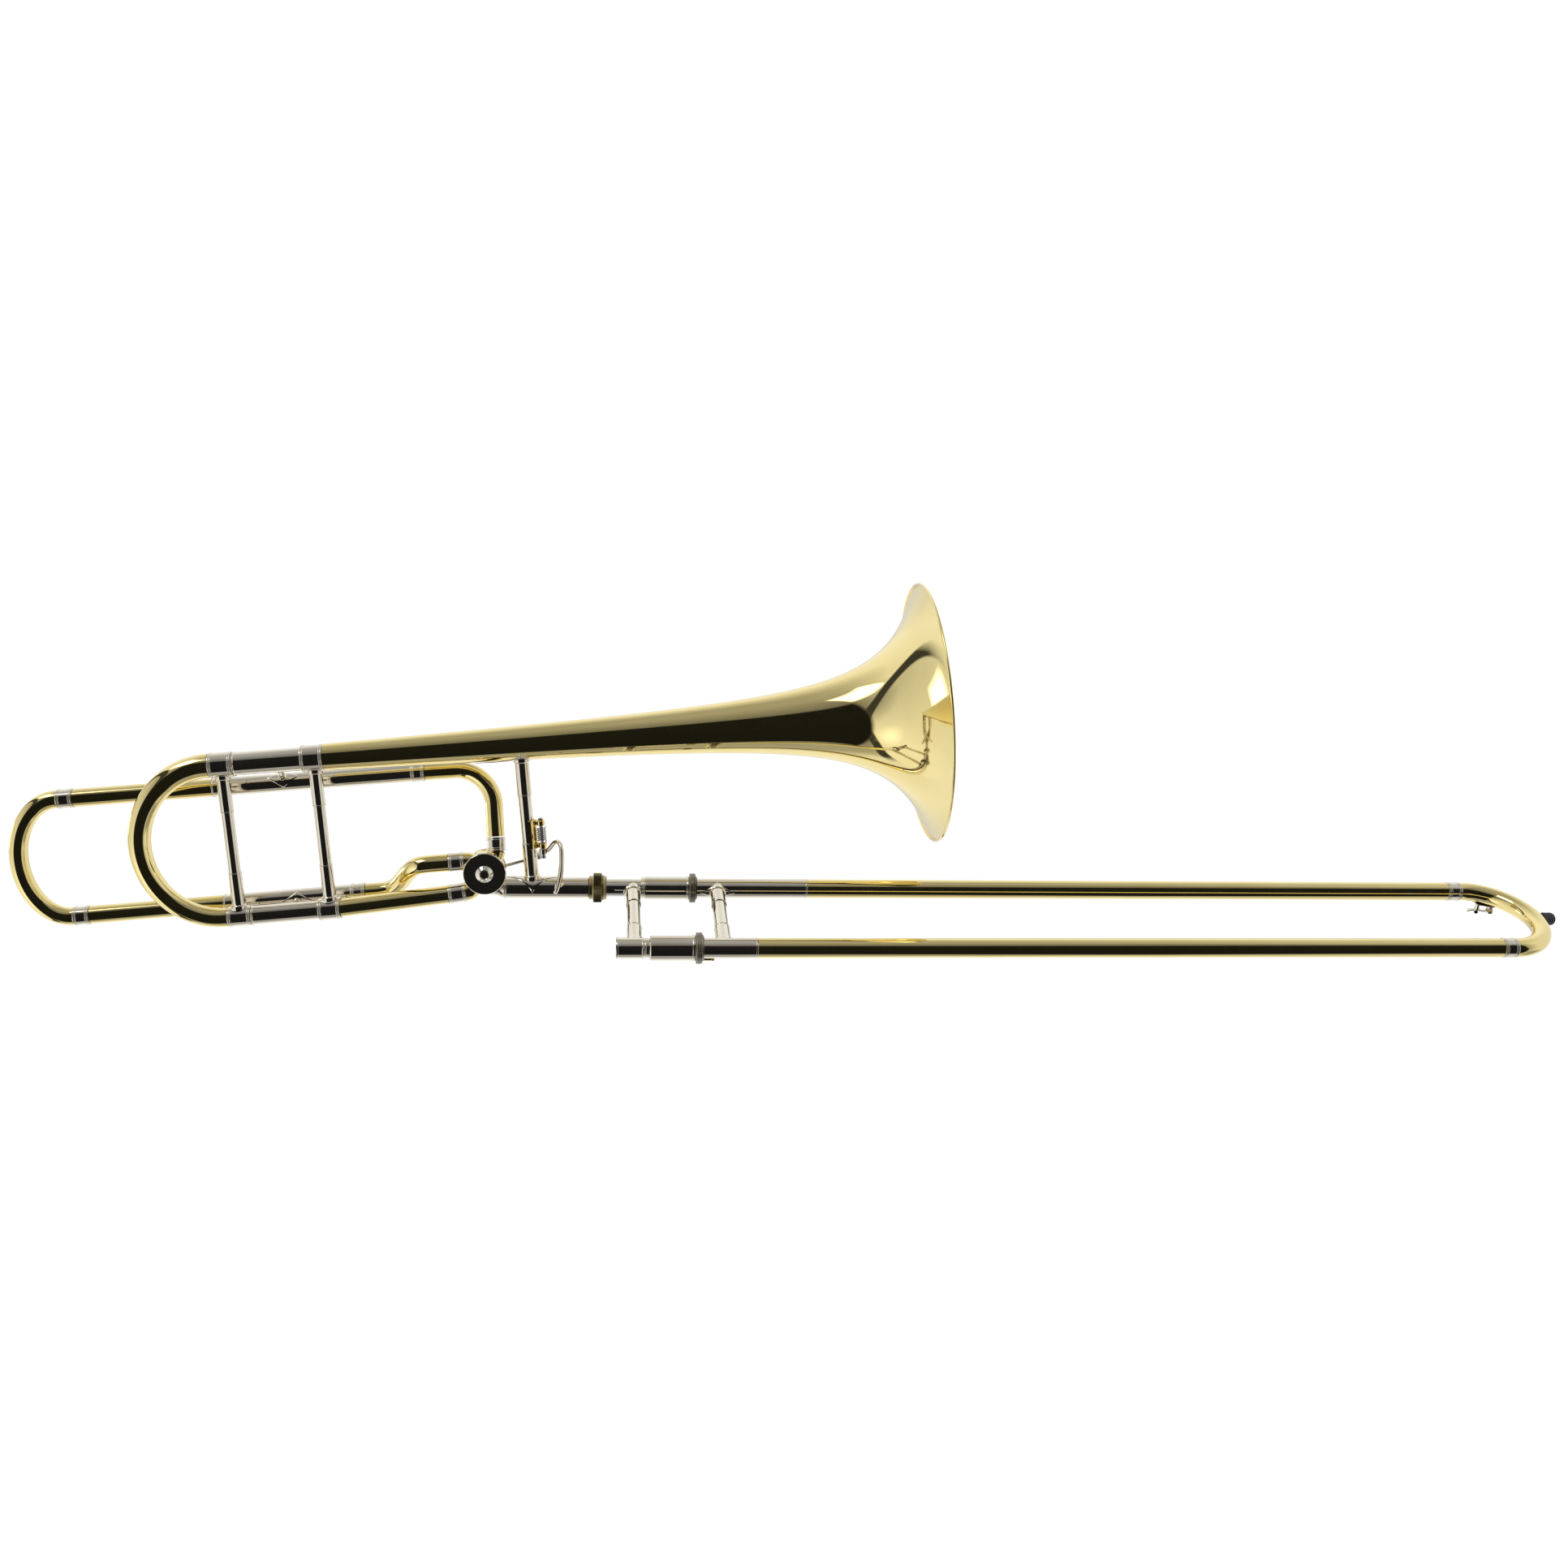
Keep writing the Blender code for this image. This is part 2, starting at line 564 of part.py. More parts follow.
def trigger_lever(joint):
    """The thumb lever: hub, curved front arm with its blade, and rear arm to the linkage."""
    up = Vector((0, 0, 1))
    hub = piece("trigger_lever", rod(PIN - up * 2.4, PIN + up * 2.4, 3.1, 16), NICKEL, joint)
    front = [
        PIN + Vector((1.5, -0.5, 0)),
        (17.0, -8.5, 32.5),
        (21.0, -12.5, 37.6),
        (24.2, -15.8, 39.6),
        (26.6, -19.6, 38.2),
        (27.3, -22.6, 34.0),
        (27.0, -24.6, 26.0),
        (25.3, -25.6, 16.0),
        (22.6, -26.0, 7.0),
        (20.2, -26.2, 1.6),
        (19.3, -26.3, -0.2),
    ]
    widths = [3.2, 3.6, 4.0, 4.6, 5.6, 6.6, 7.8, 8.6, 8.4, 6.8, 3.2]
    thicknesses = [3.4, 3.2, 3.2, 3.1, 2.9, 2.7, 2.5, 2.4, 2.3, 2.2, 1.6]
    combine(hub, "UNION", ribbon(front, widths, thicknesses))
    lever_end, _ = link_ends()
    eye = lever_end + up * 3.4
    rear = [PIN + Vector((0, 1.0, 0)), PIN + Vector((-0.4, 7.0, -1.6)), eye + Vector((1.0, -7, 1.6)), eye]
    combine(hub, "UNION", bent_rod(rear, [1.5] * len(rear), 10))
    combine(hub, "UNION", rod(eye - up * 1.2, eye + up * 1.2, 2.7, 16))
    combine(hub, "DIFFERENCE", rod(PIN - up * 5, PIN + up * 5, 1.6, 12))


def linkage(joint):
    """The rod from the trigger lever to the rotor's crank, with an eye at each end."""
    up, y = Vector((0, 0, 1)), Vector((0, 1, 0))
    lever_end, crank_end = link_ends()
    obj = piece("linkage_rod", rod(lever_end - up * 1.6, lever_end + up * 1.6, 2.6, 16), STEEL, joint)
    combine(obj, "UNION", rod(lever_end, crank_end + y * 0.6, 1.1, 10))
    combine(obj, "UNION", rod(crank_end - y * 0.4, crank_end + y * 2.2, 3.0, 16))


def inner_slide(joint):
    """The inner slide, with the mouthpiece tube at -Y: two chromed tubes, cork barrels and a brace."""
    x = (1, 0, 0)
    upper, lower = (0, 0, 0), (0, -SLIDE_SPACING, 0)
    outer = [(56.6, NECK_RADIUS), (91.0, NECK_RADIUS), (91.0, INNER_RADIUS), (INNER_END, INNER_RADIUS)]
    tube_mesh = turned(upper, x, outer, [(56.6, INNER_BORE), (INNER_END, INNER_BORE)])
    piece("upper_inner_tube", tube_mesh, CHROME, joint)
    outer = [(93.6, INNER_RADIUS), (INNER_END, INNER_RADIUS)]
    tube_mesh = turned(lower, x, outer, [(93.6, INNER_BORE), (INNER_END, INNER_BORE)])
    piece("lower_inner_tube", tube_mesh, CHROME, joint)

    barrel = [(88.3, 8.5), (91.6, 8.5), (92.0, 9.35), (125.7, 9.35), (125.7, 9.8), (127.7, 9.8)]
    bore = [(88.3, NECK_RADIUS + 0.25), (95.0, NECK_RADIUS + 0.25), (95.0, 8.4), (127.7, 8.4)]
    piece("upper_cork_barrel", turned(upper, x, barrel, bore), NICKEL, joint)
    knurl = [(128.0, 12.1), (133.0, 12.1), (133.0, 9.2), (134.2, 9.2)]
    piece("upper_barrel_ring", turned(upper, x, knurl, [(128.0, 8.4), (134.2, 8.4)]), DARK_KNURL, joint)

    barrel = [(93.4, 9.2), (93.9, 9.65), (126.4, 9.65)]
    barrel += [(126.4, 10.1), (128.4, 10.1), (128.4, 8.85), (133.4, 8.85)]
    bore = [(93.4, INNER_RADIUS + 0.25), (96.4, INNER_RADIUS + 0.25), (96.4, 8.4), (133.4, 8.4)]
    piece("lower_cork_barrel", turned(lower, x, barrel, bore), NICKEL, joint)

    rim = [(67.6, 8.4), (69.2, 8.4)]
    body = [(69.2, 8.0), (88.2, 8.0), (88.2, 7.4), (93.2, 7.4)]
    leadpipe = [(93.2, 6.35), (230.0, 6.35)]
    bore = [(67.6, 6.4), (100.0, 5.6), (230.0, 6.0)]
    piece("mouthpiece_receiver", turned(lower, x, rim + body + leadpipe, bore), NICKEL, joint)
    low_end = (82.0, -SLIDE_SPACING, 0)
    brace("inner_brace", joint, (82.0, 0, 0), (x, NECK_RADIUS), low_end, (x, 8.0), 5.4)


def lock_nut(joint):
    """The nut that draws the slide into the receiver: captive on the slide's neck."""
    outer = [(46.0, 9.6), (49.4, 9.6), (49.4, 12.0), (56.6, 12.0), (56.6, 10.2), (60.4, 9.4)]
    bore = [(46.0, 8.55), (56.5, 8.55), (56.5, 7.75), (60.4, 7.75)]
    piece("lock_nut", turned((0, 0, 0), (1, 0, 0), outer, bore), NUT_BRASS, joint)


def slide_lock_ring(joint):
    """The knurled ring that turns to hold the hand slide shut."""
    outer = [(128.8, 12.2), (133.8, 12.2), (133.8, 10.0), (135.0, 10.0)]
    mesh = turned((0, -SLIDE_SPACING, 0), (1, 0, 0), outer, [(128.8, 9.35), (135.0, 9.35)])
    piece("slide_lock_ring", mesh, DARK_KNURL, joint)


def hand_slide(joint):
    """The outer slide that the right hand moves: two tubes, a brace, the end crook and its fittings."""
    x = (1, 0, 0)
    upper, lower = (0, 0, 0), (0, -SLIDE_SPACING, 0)
    for side, place, seam, end in (("upper", upper, 225.6, UPPER_END), ("lower", lower, 176.8, LOWER_END)):
        outer = [(97.0, SLEEVE_RADIUS), (seam - 1.4, SLEEVE_RADIUS), (seam - 1.4, 8.15), (seam, 8.15)]
        sleeve = turned(place, x, outer, [(97.0, OUTER_BORE), (seam, OUTER_BORE)])
        piece(f"{side}_slide_sleeve", sleeve, NICKEL, joint)
        outer = [(seam + GAP, OUTER_RADIUS), (end, OUTER_RADIUS)]
        bore = [(seam + GAP, OUTER_BORE), (end, OUTER_BORE)]
        piece(f"{side}_slide_tube", turned(place, x, outer, bore), BRASS, joint)
        outer, bore = band(end + GAP, end + 12.2, 8.05), [(end + GAP, 7.3), (end + 12.2, 7.3)]
        piece(f"{side}_crook_ferrule", turned(place, x, outer, bore), NICKEL, joint)
    low_end = (151.0, -SLIDE_SPACING, 0)
    brace("outer_brace", joint, (151.0, 0, 0), (x, SLEEVE_RADIUS), low_end, (x, SLEEVE_RADIUS), 5.6)
    half = SLIDE_SPACING / 2
    parts = 12
    path = arc((CROOK_X, -half, 0), (1, 0, 0), (0, 1, 0), CROOK_DEPTH, half, 90, -90, parts)
    path = [Vector((UPPER_END + 12.5, 0, 0))] + path + [Vector((LOWER_END + 12.5, -SLIDE_SPACING, 0))]
    piece("slide_crook", bent_tube(path, [OUTER_RADIUS] * len(path), 0.5), BRASS, joint)

    apex = CROOK_X + CROOK_DEPTH + OUTER_RADIUS
    outline = [(GAP + 0.2, 4.6), (1.2, 5.6), (BUMPER_LENGTH - 3.2, 5.5), (BUMPER_LENGTH - 0.9, 4.6)]
    outline.append((BUMPER_LENGTH, 2.6))
    piece("rubber_bumper", turned((apex, -half, 0), x, outline, None, 16), RUBBER, joint)

    drop = 10.0
    start = Vector((135.4, -SLIDE_SPACING, -drop))
    end = Vector((141.6, -SLIDE_SPACING, -drop))
    pin = piece("lock_pin", rod(start, end, 1.3, 12), GOLD_BRASS, joint)
    ball = [(0, 0.8), (0.5, 1.4), (1.3, 1.7), (2.1, 1.4), (2.6, 0.8)]
    combine(pin, "UNION", turned(end - Vector((0.6, 0, 0)), x, ball, None, 12))
    foot = Vector((138.4, -SLIDE_SPACING, -SLEEVE_RADIUS - GAP))
    combine(pin, "UNION", rod(foot, foot + Vector((0, 0, -1.8)), 1.0, 10))


def water_key_fixed(joint):
    """The water key's saddle with its nipple."""
    y = Vector((0, 1, 0))
    low = -OUTER_RADIUS - GAP
    bar_z = low - 0.6
    bar = [(-8.5, 0, bar_z), (KEY_HINGE.x, 0, bar_z), (KEY_PAD_X, 0, bar_z), (9.0, 0, bar_z)]
    saddle = piece("water_key_saddle", ribbon(bar, [3.0, 10.4, 6.0, 3.0], [1.2] * 4), NICKEL, joint)
    nipple = turned((KEY_PAD_X, 0, low - 0.7), (0, 0, -1), [(0, 3.0), (3.0, 2.4)], None, 16)
    combine(saddle, "UNION", nipple)
    for side in (-1, 1):
        ear = KEY_HINGE + y * 4.4 * side
        top = Vector((ear.x, ear.y, low - 0.8))
        combine(saddle, "UNION", bent_rod([top, ear], [1.5, 2.0], 12))
    combine(saddle, "DIFFERENCE", rod(KEY_HINGE - y * 8, KEY_HINGE + y * 8, 0.95, 10))
    combine(saddle, "DIFFERENCE", rod((KEY_PAD_X, 0, -20), (KEY_PAD_X, 0, 0), 1.5, 12))


def water_key_moving(joint):
    """The water key's lever: pad cup, barrel and touch piece, on its hinge screw."""
    y = Vector((0, 1, 0))
    barrel = rod(KEY_HINGE - y * 2.1, KEY_HINGE + y * 2.1, 2.2, 14)
    lever = piece("water_key_lever", barrel, NICKEL, joint)
    cup_top = -OUTER_RADIUS - GAP - 5.4
    cup = Vector((KEY_PAD_X, 0, cup_top))
    combine(lever, "UNION", turned(cup, (0, 0, -1), [(0, 3.6), (1.6, 3.6), (2.4, 2.4)], None, 16))
    path = [cup + Vector((-1.5, 0, -1.4))]
    path += [KEY_HINGE + Vector(step) for step in ((2.0, 0, -1.1), (-4.0, 0, -2.5), (-8.5, 0, -4.9))]
    combine(lever, "UNION", ribbon(path, [3.2, 3.2, 4.6, 6.4], [1.3] * 4))
    combine(lever, "DIFFERENCE", rod(KEY_HINGE - y * 8, KEY_HINGE + y * 8, 0.95, 10))


def water_key_cork(joint):
    """The cork pad in the cup, which closes the nipple."""
    top = -OUTER_RADIUS - GAP - 3.7 - GAP
    piece("water_key_cork", rod((KEY_PAD_X, 0, top), (KEY_PAD_X, 0, top - 1.1), 2.8, 14), CORK, joint)


def water_key_screw(joint):
    """The screw that the water key turns on."""
    y = Vector((0, 1, 0))
    outline = [(0, 1.7), (1.0, 1.7), (1.0, 0.75), (14.2, 0.75)]
    piece("water_key_screw", turned(KEY_HINGE - y * 7.9, y, outline, None, 10), STEEL, joint)


def moving_empty(name, parent, place=(0, 0, 0)):
    """An empty on a joint's axis. Its children keep their section's coordinates."""
    joint = empty(name, parent, place)
    joint["moves"] = True
    return joint


def main():
    clear_scene()
    bell_frame = empty("bell_section_frame", None, (0, 0, 0), (0, -BELL_TILT, 0))
    slide_frame = empty("slide_section_frame", None, (0, 0, 0), (SLIDE_ROLL, 0, 0))
    fixed_slide_frame = empty("receiver_frame")

    bell(bell_frame)
    main_tubing(bell_frame)
    valve(bell_frame)
    receiver(fixed_slide_frame)
    f_attachment(bell_frame)
    fixed_braces(bell_frame)
    trigger_bracket(bell_frame)

    tuning_slide(moving_empty("main_tuning_axis", bell_frame, (-222.3, 0, BELL_H)))
    f_tuning_slide(moving_empty("f_tuning_axis", bell_frame, (-246.0, F_SIDE, F_UPPER_H)))
    rotor(moving_empty("rotor_axis", bell_frame, VALVE))
    trigger_lever(moving_empty("trigger_axis", bell_frame, PIN))
    linkage(moving_empty("linkage_axis", bell_frame, link_ends()[0]))

    tenon_axis = moving_empty("tenon_axis", fixed_slide_frame, (54.0, 0, 0))
    tenon = [(20.0, 7.25), (54.3, 7.35), (54.3, 8.1), (56.2, 8.1)]
    tenon_tube = turned((0, 0, 0), (1, 0, 0), tenon, [(20.0, 6.6), (56.2, 6.6)])
    piece("slide_tenon", tenon_tube, NICKEL, tenon_axis)
    inner_slide(moving_empty("inner_slide_axis", slide_frame, (56.6, 0, 0)))
    lock_nut(moving_empty("lock_nut_axis", slide_frame, (46.0, 0, 0)))
    slide_lock_ring(moving_empty("slide_lock_axis", slide_frame, (128.8, -SLIDE_SPACING, 0)))
    hand_slide(moving_empty("hand_slide_axis", slide_frame, (97.0, 0, 0)))

    half = SLIDE_SPACING / 2
    across, along = cos(radians(KEY_ANGLE)), sin(radians(KEY_ANGLE))
    key_place = (CROOK_X + CROOK_DEPTH * across, -half + half * along, 0)
    key_turn = degrees(atan2(-half * across, CROOK_DEPTH * along))
    key_frame = empty("water_key_frame", slide_frame, key_place, (0, 0, key_turn))
    water_key_fixed(key_frame)
    water_key_screw(key_frame)
    key_axis = moving_empty("water_key_axis", key_frame, KEY_HINGE)
    water_key_moving(key_axis)
    water_key_cork(key_axis)


main()
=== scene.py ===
"""Looks of a tenor trombone with an F attachment.

Every CAD node that shows is replaced by a finer piece of the same size, drawn here in millimetres in its
section's frame. The slide lies along +X, +Z is up, and the instrument faces the camera on -Y.
"""

import json
from math import atan2, cos, pi, radians, sin, sqrt

import bmesh
import bpy
from mathutils import Matrix, Vector


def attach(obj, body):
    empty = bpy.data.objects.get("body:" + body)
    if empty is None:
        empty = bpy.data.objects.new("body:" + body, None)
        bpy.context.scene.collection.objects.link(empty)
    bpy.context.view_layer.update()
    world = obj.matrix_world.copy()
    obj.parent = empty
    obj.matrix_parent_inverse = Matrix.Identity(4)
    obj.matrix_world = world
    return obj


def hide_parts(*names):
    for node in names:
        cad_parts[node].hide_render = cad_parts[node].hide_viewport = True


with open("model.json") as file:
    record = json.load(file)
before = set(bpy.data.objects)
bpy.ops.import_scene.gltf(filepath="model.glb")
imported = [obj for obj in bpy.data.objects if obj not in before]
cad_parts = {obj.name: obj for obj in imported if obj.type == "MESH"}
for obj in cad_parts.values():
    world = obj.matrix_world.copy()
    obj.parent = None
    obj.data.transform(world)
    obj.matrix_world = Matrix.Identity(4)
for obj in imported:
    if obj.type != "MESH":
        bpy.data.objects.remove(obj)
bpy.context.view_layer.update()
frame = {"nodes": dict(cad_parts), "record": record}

MM = 0.001
X, Y, Z = Vector((1, 0, 0)), Vector((0, 1, 0)), Vector((0, 0, 1))

# Facets round each kind of piece
TUBE_SIDES = 72
BEND_SIDES = 56
POST_SIDES = 56
SMALL_SIDES = 28
BELL_SIDES = 160
BELL_STATIONS = 110
SHARP_ANGLE = 32

# Frames of the sections
BELL_TILT = 5.23
SLIDE_ROLL = 16.25
SLIDE_SPACING = 92.0
F_SIDE = 24.0

# Bell section, in its own frame
BELL_H, LOWER_H = 119.3, -3.6
F_UPPER_H, F_LOWER_H = 98.0, 2.0
F_RADIUS, F_WALL = 7.1, 0.5
BELL_TAIL, BELL_RIM = -152.3, 332.3
RIM_RADIUS, TAIL_RADIUS = 107.0, 9.2
BORE_CONE, FLARE_POLE, FLARE_POWER = 0.0125, 393.2, 1.887
BELL_WALL = 0.7
VALVE = Vector((-35.65, 0.0, 17.2))
CASING_RADIUS, CASING_BORE, CASING_HALF = 15.6, 14.2, 10.6
PIN = Vector((11.8, -3.0, 29.75))
TRIGGER_TURN, LEVER_ARM, LINK_H = 28.0, 24.1, 20.5

# Hand slide
INNER_RADIUS, INNER_BORE, NECK_RADIUS = 7.15, 6.7, 7.35
OUTER_RADIUS, OUTER_BORE, SLEEVE_RADIUS = 7.75, 7.45, 7.9
INNER_END, UPPER_END, LOWER_END = 787.5, 791.4, 792.4
CROOK_X, CROOK_DEPTH, BUMPER_LENGTH = 805.2, 42.2, 11.2
KEY_ANGLE, KEY_PAD_X = 59.0, 5.5
KEY_HINGE = Vector((-4.5, 0, -14.6))

HALF = SLIDE_SPACING / 2
BELL_FRAME = Matrix.Rotation(-radians(BELL_TILT), 4, "Y")
SLIDE_FRAME = Matrix.Rotation(radians(SLIDE_ROLL), 4, "X")
KEY_ACROSS, KEY_ALONG = cos(radians(KEY_ANGLE)), sin(radians(KEY_ANGLE))
KEY_PLACE = Vector((CROOK_X + CROOK_DEPTH * KEY_ACROSS, -HALF + HALF * KEY_ALONG, 0))
KEY_TURN = atan2(-HALF * KEY_ACROSS, CROOK_DEPTH * KEY_ALONG)
KEY_FRAME = SLIDE_FRAME @ Matrix.Translation(KEY_PLACE) @ Matrix.Rotation(KEY_TURN, 4, "Z")

# The frame that each body's pieces are drawn in; the receiver and its tenon lie along X itself
BELL_SECTION = "bell_section"
BELL_BODIES = (BELL_SECTION, "main_tuning_slide", "f_tuning_slide")
BELL_BODIES += ("rotor_valve", "thumb_trigger", "linkage")
SLIDE_BODIES = ("inner_slide", "receiver_nut", "slide_lock", "hand_slide")
FRAMES = {body: BELL_FRAME for body in BELL_BODIES} | {body: SLIDE_FRAME for body in SLIDE_BODIES}
FRAMES |= {"tenon": Matrix.Identity(4), "water_key": KEY_FRAME}


# ---- Materials ----


class Nodes:
    """Short calls for building a node tree."""

    def __init__(self, tree):
        self.tree = tree

    def add(self, kind, **settings):
        node = self.tree.nodes.new(kind)
        for name, value in settings.items():
            setattr(node, name, value)
        return node

    def link(self, out, into):
        self.tree.links.new(out, into)

    def feed(self, value, into):
        """Sets a socket to a number, or links another socket to it."""
        if isinstance(value, (int, float)):
            into.default_value = value
        else:
            self.link(value, into)

    def noise(self, source, scale, detail=3.0, stretch=(1, 1, 1)):
        mapping = self.add("ShaderNodeMapping")
        mapping.inputs["Scale"].default_value = stretch
        self.link(source, mapping.inputs["Vector"])
        noise = self.add("ShaderNodeTexNoise")
        noise.inputs["Scale"].default_value = scale
        noise.inputs["Detail"].default_value = detail
        self.link(mapping.outputs["Vector"], noise.inputs["Vector"])
        return noise.outputs["Fac"]

    def spread(self, value, low, high, start=0.3, stop=0.7):
        """A 0 to 1 pattern spread over low to high."""
        change = self.add("ShaderNodeMapRange")
        for name, amount in (("From Min", start), ("From Max", stop), ("To Min", low), ("To Max", high)):
            change.inputs[name].default_value = amount
        self.link(value, change.inputs["Value"])
        return change.outputs["Result"]

    def blend(self, amount, first, second):
        mix = self.add("ShaderNodeMix", data_type="RGBA")
        mix.inputs["A"].default_value = (*first, 1)
        mix.inputs["B"].default_value = (*second, 1)
        self.link(amount, mix.inputs["Factor"])
        return mix.outputs["Result"]

    def bump(self, height, strength, distance):
        bump = self.add("ShaderNodeBump")
        bump.inputs["Strength"].default_value = strength
        bump.inputs["Distance"].default_value = distance
        self.link(height, bump.inputs["Height"])
        return bump.outputs["Normal"]


def new_material(name):
    material = bpy.data.materials.new(name)
    material.use_nodes = True
    nodes = Nodes(material.node_tree)
    shader = material.node_tree.nodes["Principled BSDF"]
    place = nodes.add("ShaderNodeTexCoord").outputs["Object"]
    return material, nodes, shader, place


def metal(name, colour, worn, roughness, grain, coat=0.0):
    """Polished metal with slow changes of tone, haze from handling and fine polishing lines.

    worn is the colour of the toned areas, roughness is (polished, hazed), and grain is the height of the
    lines in metres.
    """
    material, nodes, shader, place = new_material(name)
    tone = nodes.spread(nodes.noise(place, 22, 4), 0, 1, 0.35, 0.7)
    nodes.link(nodes.blend(tone, colour, worn), shader.inputs["Base Color"])
    haze = nodes.noise(place, 75, 6)
    nodes.link(nodes.spread(haze, *roughness, 0.45, 0.75), shader.inputs["Roughness"])
    lines = nodes.noise(place, 700, 2, (0.06, 1, 1))
    nodes.link(nodes.bump(lines, 0.3, grain), shader.inputs["Normal"])
    shader.inputs["Metallic"].default_value = 1.0
    if coat:
        shader.inputs["Coat Weight"].default_value = coat
        shader.inputs["Coat Roughness"].default_value = 0.03
        shader.inputs["Coat IOR"].default_value = 1.5
    return material


def speckled(name, dark, light, scale, roughness, height):
    """A matt material of grains: rubber or cork."""
    material, nodes, shader, place = new_material(name)
    cells = nodes.add("ShaderNodeTexVoronoi")
    cells.inputs["Scale"].default_value = scale
    nodes.link(place, cells.inputs["Vector"])
    grains = nodes.spread(cells.outputs["Distance"], 0, 1, 0.1, 0.8)
    nodes.link(nodes.blend(grains, dark, light), shader.inputs["Base Color"])
    fine = nodes.noise(place, scale * 2, 5)
    nodes.link(nodes.spread(fine, *roughness), shader.inputs["Roughness"])
    nodes.link(nodes.bump(fine, 0.5, height), shader.inputs["Normal"])
    return material


NICKEL, BRASS, STEEL = "nickel_silver", "lacquered_brass", "spring_steel"
FINISHES = {
    BRASS: metal("look_brass", (0.90, 0.76, 0.36), (0.86, 0.71, 0.31), (0.035, 0.07), 0.000004, 0.1),
    "gold_brass": metal("look_gold", (0.92, 0.70, 0.28), (0.82, 0.58, 0.20), (0.06, 0.16), 0.00001, 0.2),
    NICKEL: metal("look_nickel", (0.81, 0.76, 0.64), (0.75, 0.69, 0.57), (0.04, 0.09), 0.000004),
    "chromed_tube": metal("look_chrome", (0.81, 0.79, 0.72), (0.75, 0.73, 0.66), (0.03, 0.07), 0.000003),
    "bronze_nut": metal("look_bronze", (0.60, 0.50, 0.27), (0.40, 0.32, 0.16), (0.26, 0.46), 0.00003),
    "dark_nickel": metal("look_dark_nickel", (0.38, 0.35, 0.28), (0.20, 0.18, 0.14), (0.24, 0.42), 0.00003),
    STEEL: metal("look_steel", (0.62, 0.61, 0.60), (0.45, 0.44, 0.43), (0.14, 0.3), 0.00002),
    "black_rubber": speckled(
        "look_rubber", (0.008, 0.008, 0.009), (0.018, 0.018, 0.02), 1500, (0.5, 0.75), 0.00006
    ),
    "cork": speckled("look_cork", (0.30, 0.17, 0.08), (0.62, 0.43, 0.24), 1400, (0.75, 0.95), 0.0001),
}


# ---- Mesh building, in millimetres ----


def strip(mesh, near, far):
    """Faces between two closed loops of corners."""
    for i in range(len(near)):
        j = (i + 1) % len(near)
        mesh.faces.new((near[i], near[j], far[j], far[i]))


def loft(rings, hollow):
    """A skin over rings of points. Hollow joins the last ring to the first, else both ends are capped."""
    mesh = bmesh.new()
    loops = [[mesh.verts.new(point) for point in ring] for ring in rings]
    pairs = list(zip(loops, loops[1:]))
    if hollow:
        pairs.append((loops[-1], loops[0]))
    for near, far in pairs:
        strip(mesh, near, far)
    if not hollow:
        mesh.faces.new(loops[0])
        mesh.faces.new(loops[-1])
    return mesh


def square_to(direction):
    """Two unit vectors square to a direction, the first as level as it can be."""
    direction = direction.normalized()
    guide = Z if abs(direction.z) < 0.9 else Y
    across = guide.cross(direction).normalized()
    return across, direction.cross(across)


def ring(centre, across, up, radius, sides, ripple=None):
    """Points of a circle. ripple(angle) is added to its radius."""
    points = []
    for i in range(sides):
        angle = 2 * pi * i / sides
        reach = radius + (ripple(angle) if ripple else 0)
        points.append(centre + reach * (across * cos(angle) + up * sin(angle)))
    return points


def through(outline, radius):
    """A plain bore right through an outline."""
    return [(outline[0][0], radius), (outline[-1][0], radius)]


def turned(start, direction, outer, bore=None, sides=TUBE_SIDES):
    """A turned shape. outer and bore list (distance along direction, radius).

    A bore that is one number goes right through, and with no bore the shape is solid.
    """
    if isinstance(bore, (int, float)):
        bore = through(outer, bore)
    start = Vector(start)
    direction = Vector(direction).normalized()
    across, up = square_to(direction)
    outline = list(outer) + list(reversed(bore or []))
    rings = [ring(start + direction * along, across, up, radius, sides) for along, radius in outline]
    return loft(rings, bool(bore))


def rod(start, end, radius, sides=SMALL_SIDES, soft=0.2):
    """A solid cylinder between two points with softened edges."""
    start, end = Vector(start), Vector(end)
    length = (end - start).length
    outline = [(0, radius - soft), (soft, radius), (length - soft, radius), (length, radius - soft)]
    return turned(start, end - start, outline, None, sides)


def cutter(start, end, radius, sides=SMALL_SIDES):
    """A plain cylinder, for cutting."""
    start, end = Vector(start), Vector(end)
    return turned(start, end - start, [(0, radius), ((end - start).length, radius)], None, sides)


def tangents_of(points):
    """The direction of a path at each of its points."""
    steps = [(b - a).normalized() for a, b in zip(points, points[1:])]
    return [steps[0]] + [(a + b).normalized() for a, b in zip(steps, steps[1:])] + [steps[-1]]


def path_rings(points, radii, sides):
    """Circles along a path, each square to it, without twist. radii is a list, or one number for all."""
    points = [Vector(point) for point in points]
    if isinstance(radii, (int, float)):
        radii = [radii] * len(points)
    tangents = tangents_of(points)
    across, _ = square_to(tangents[0])
    rings = []
    for point, tangent, radius in zip(points, tangents, radii):
        across = (across - tangent * across.dot(tangent)).normalized()
        rings.append(ring(point, across, tangent.cross(across), radius, sides))
    return rings


def bent_tube(points, radii, wall):
    """A hollow tube along a path."""
    inner_radii = [radius - wall for radius in radii] if isinstance(radii, list) else radii - wall
    inner = path_rings(points, inner_radii, BEND_SIDES)
    return loft(path_rings(points, radii, BEND_SIDES) + inner[::-1], True)


def bent_rod(points, radii, sides=SMALL_SIDES):
    """A solid rod along a path."""
    return loft(path_rings(points, radii, sides), False)


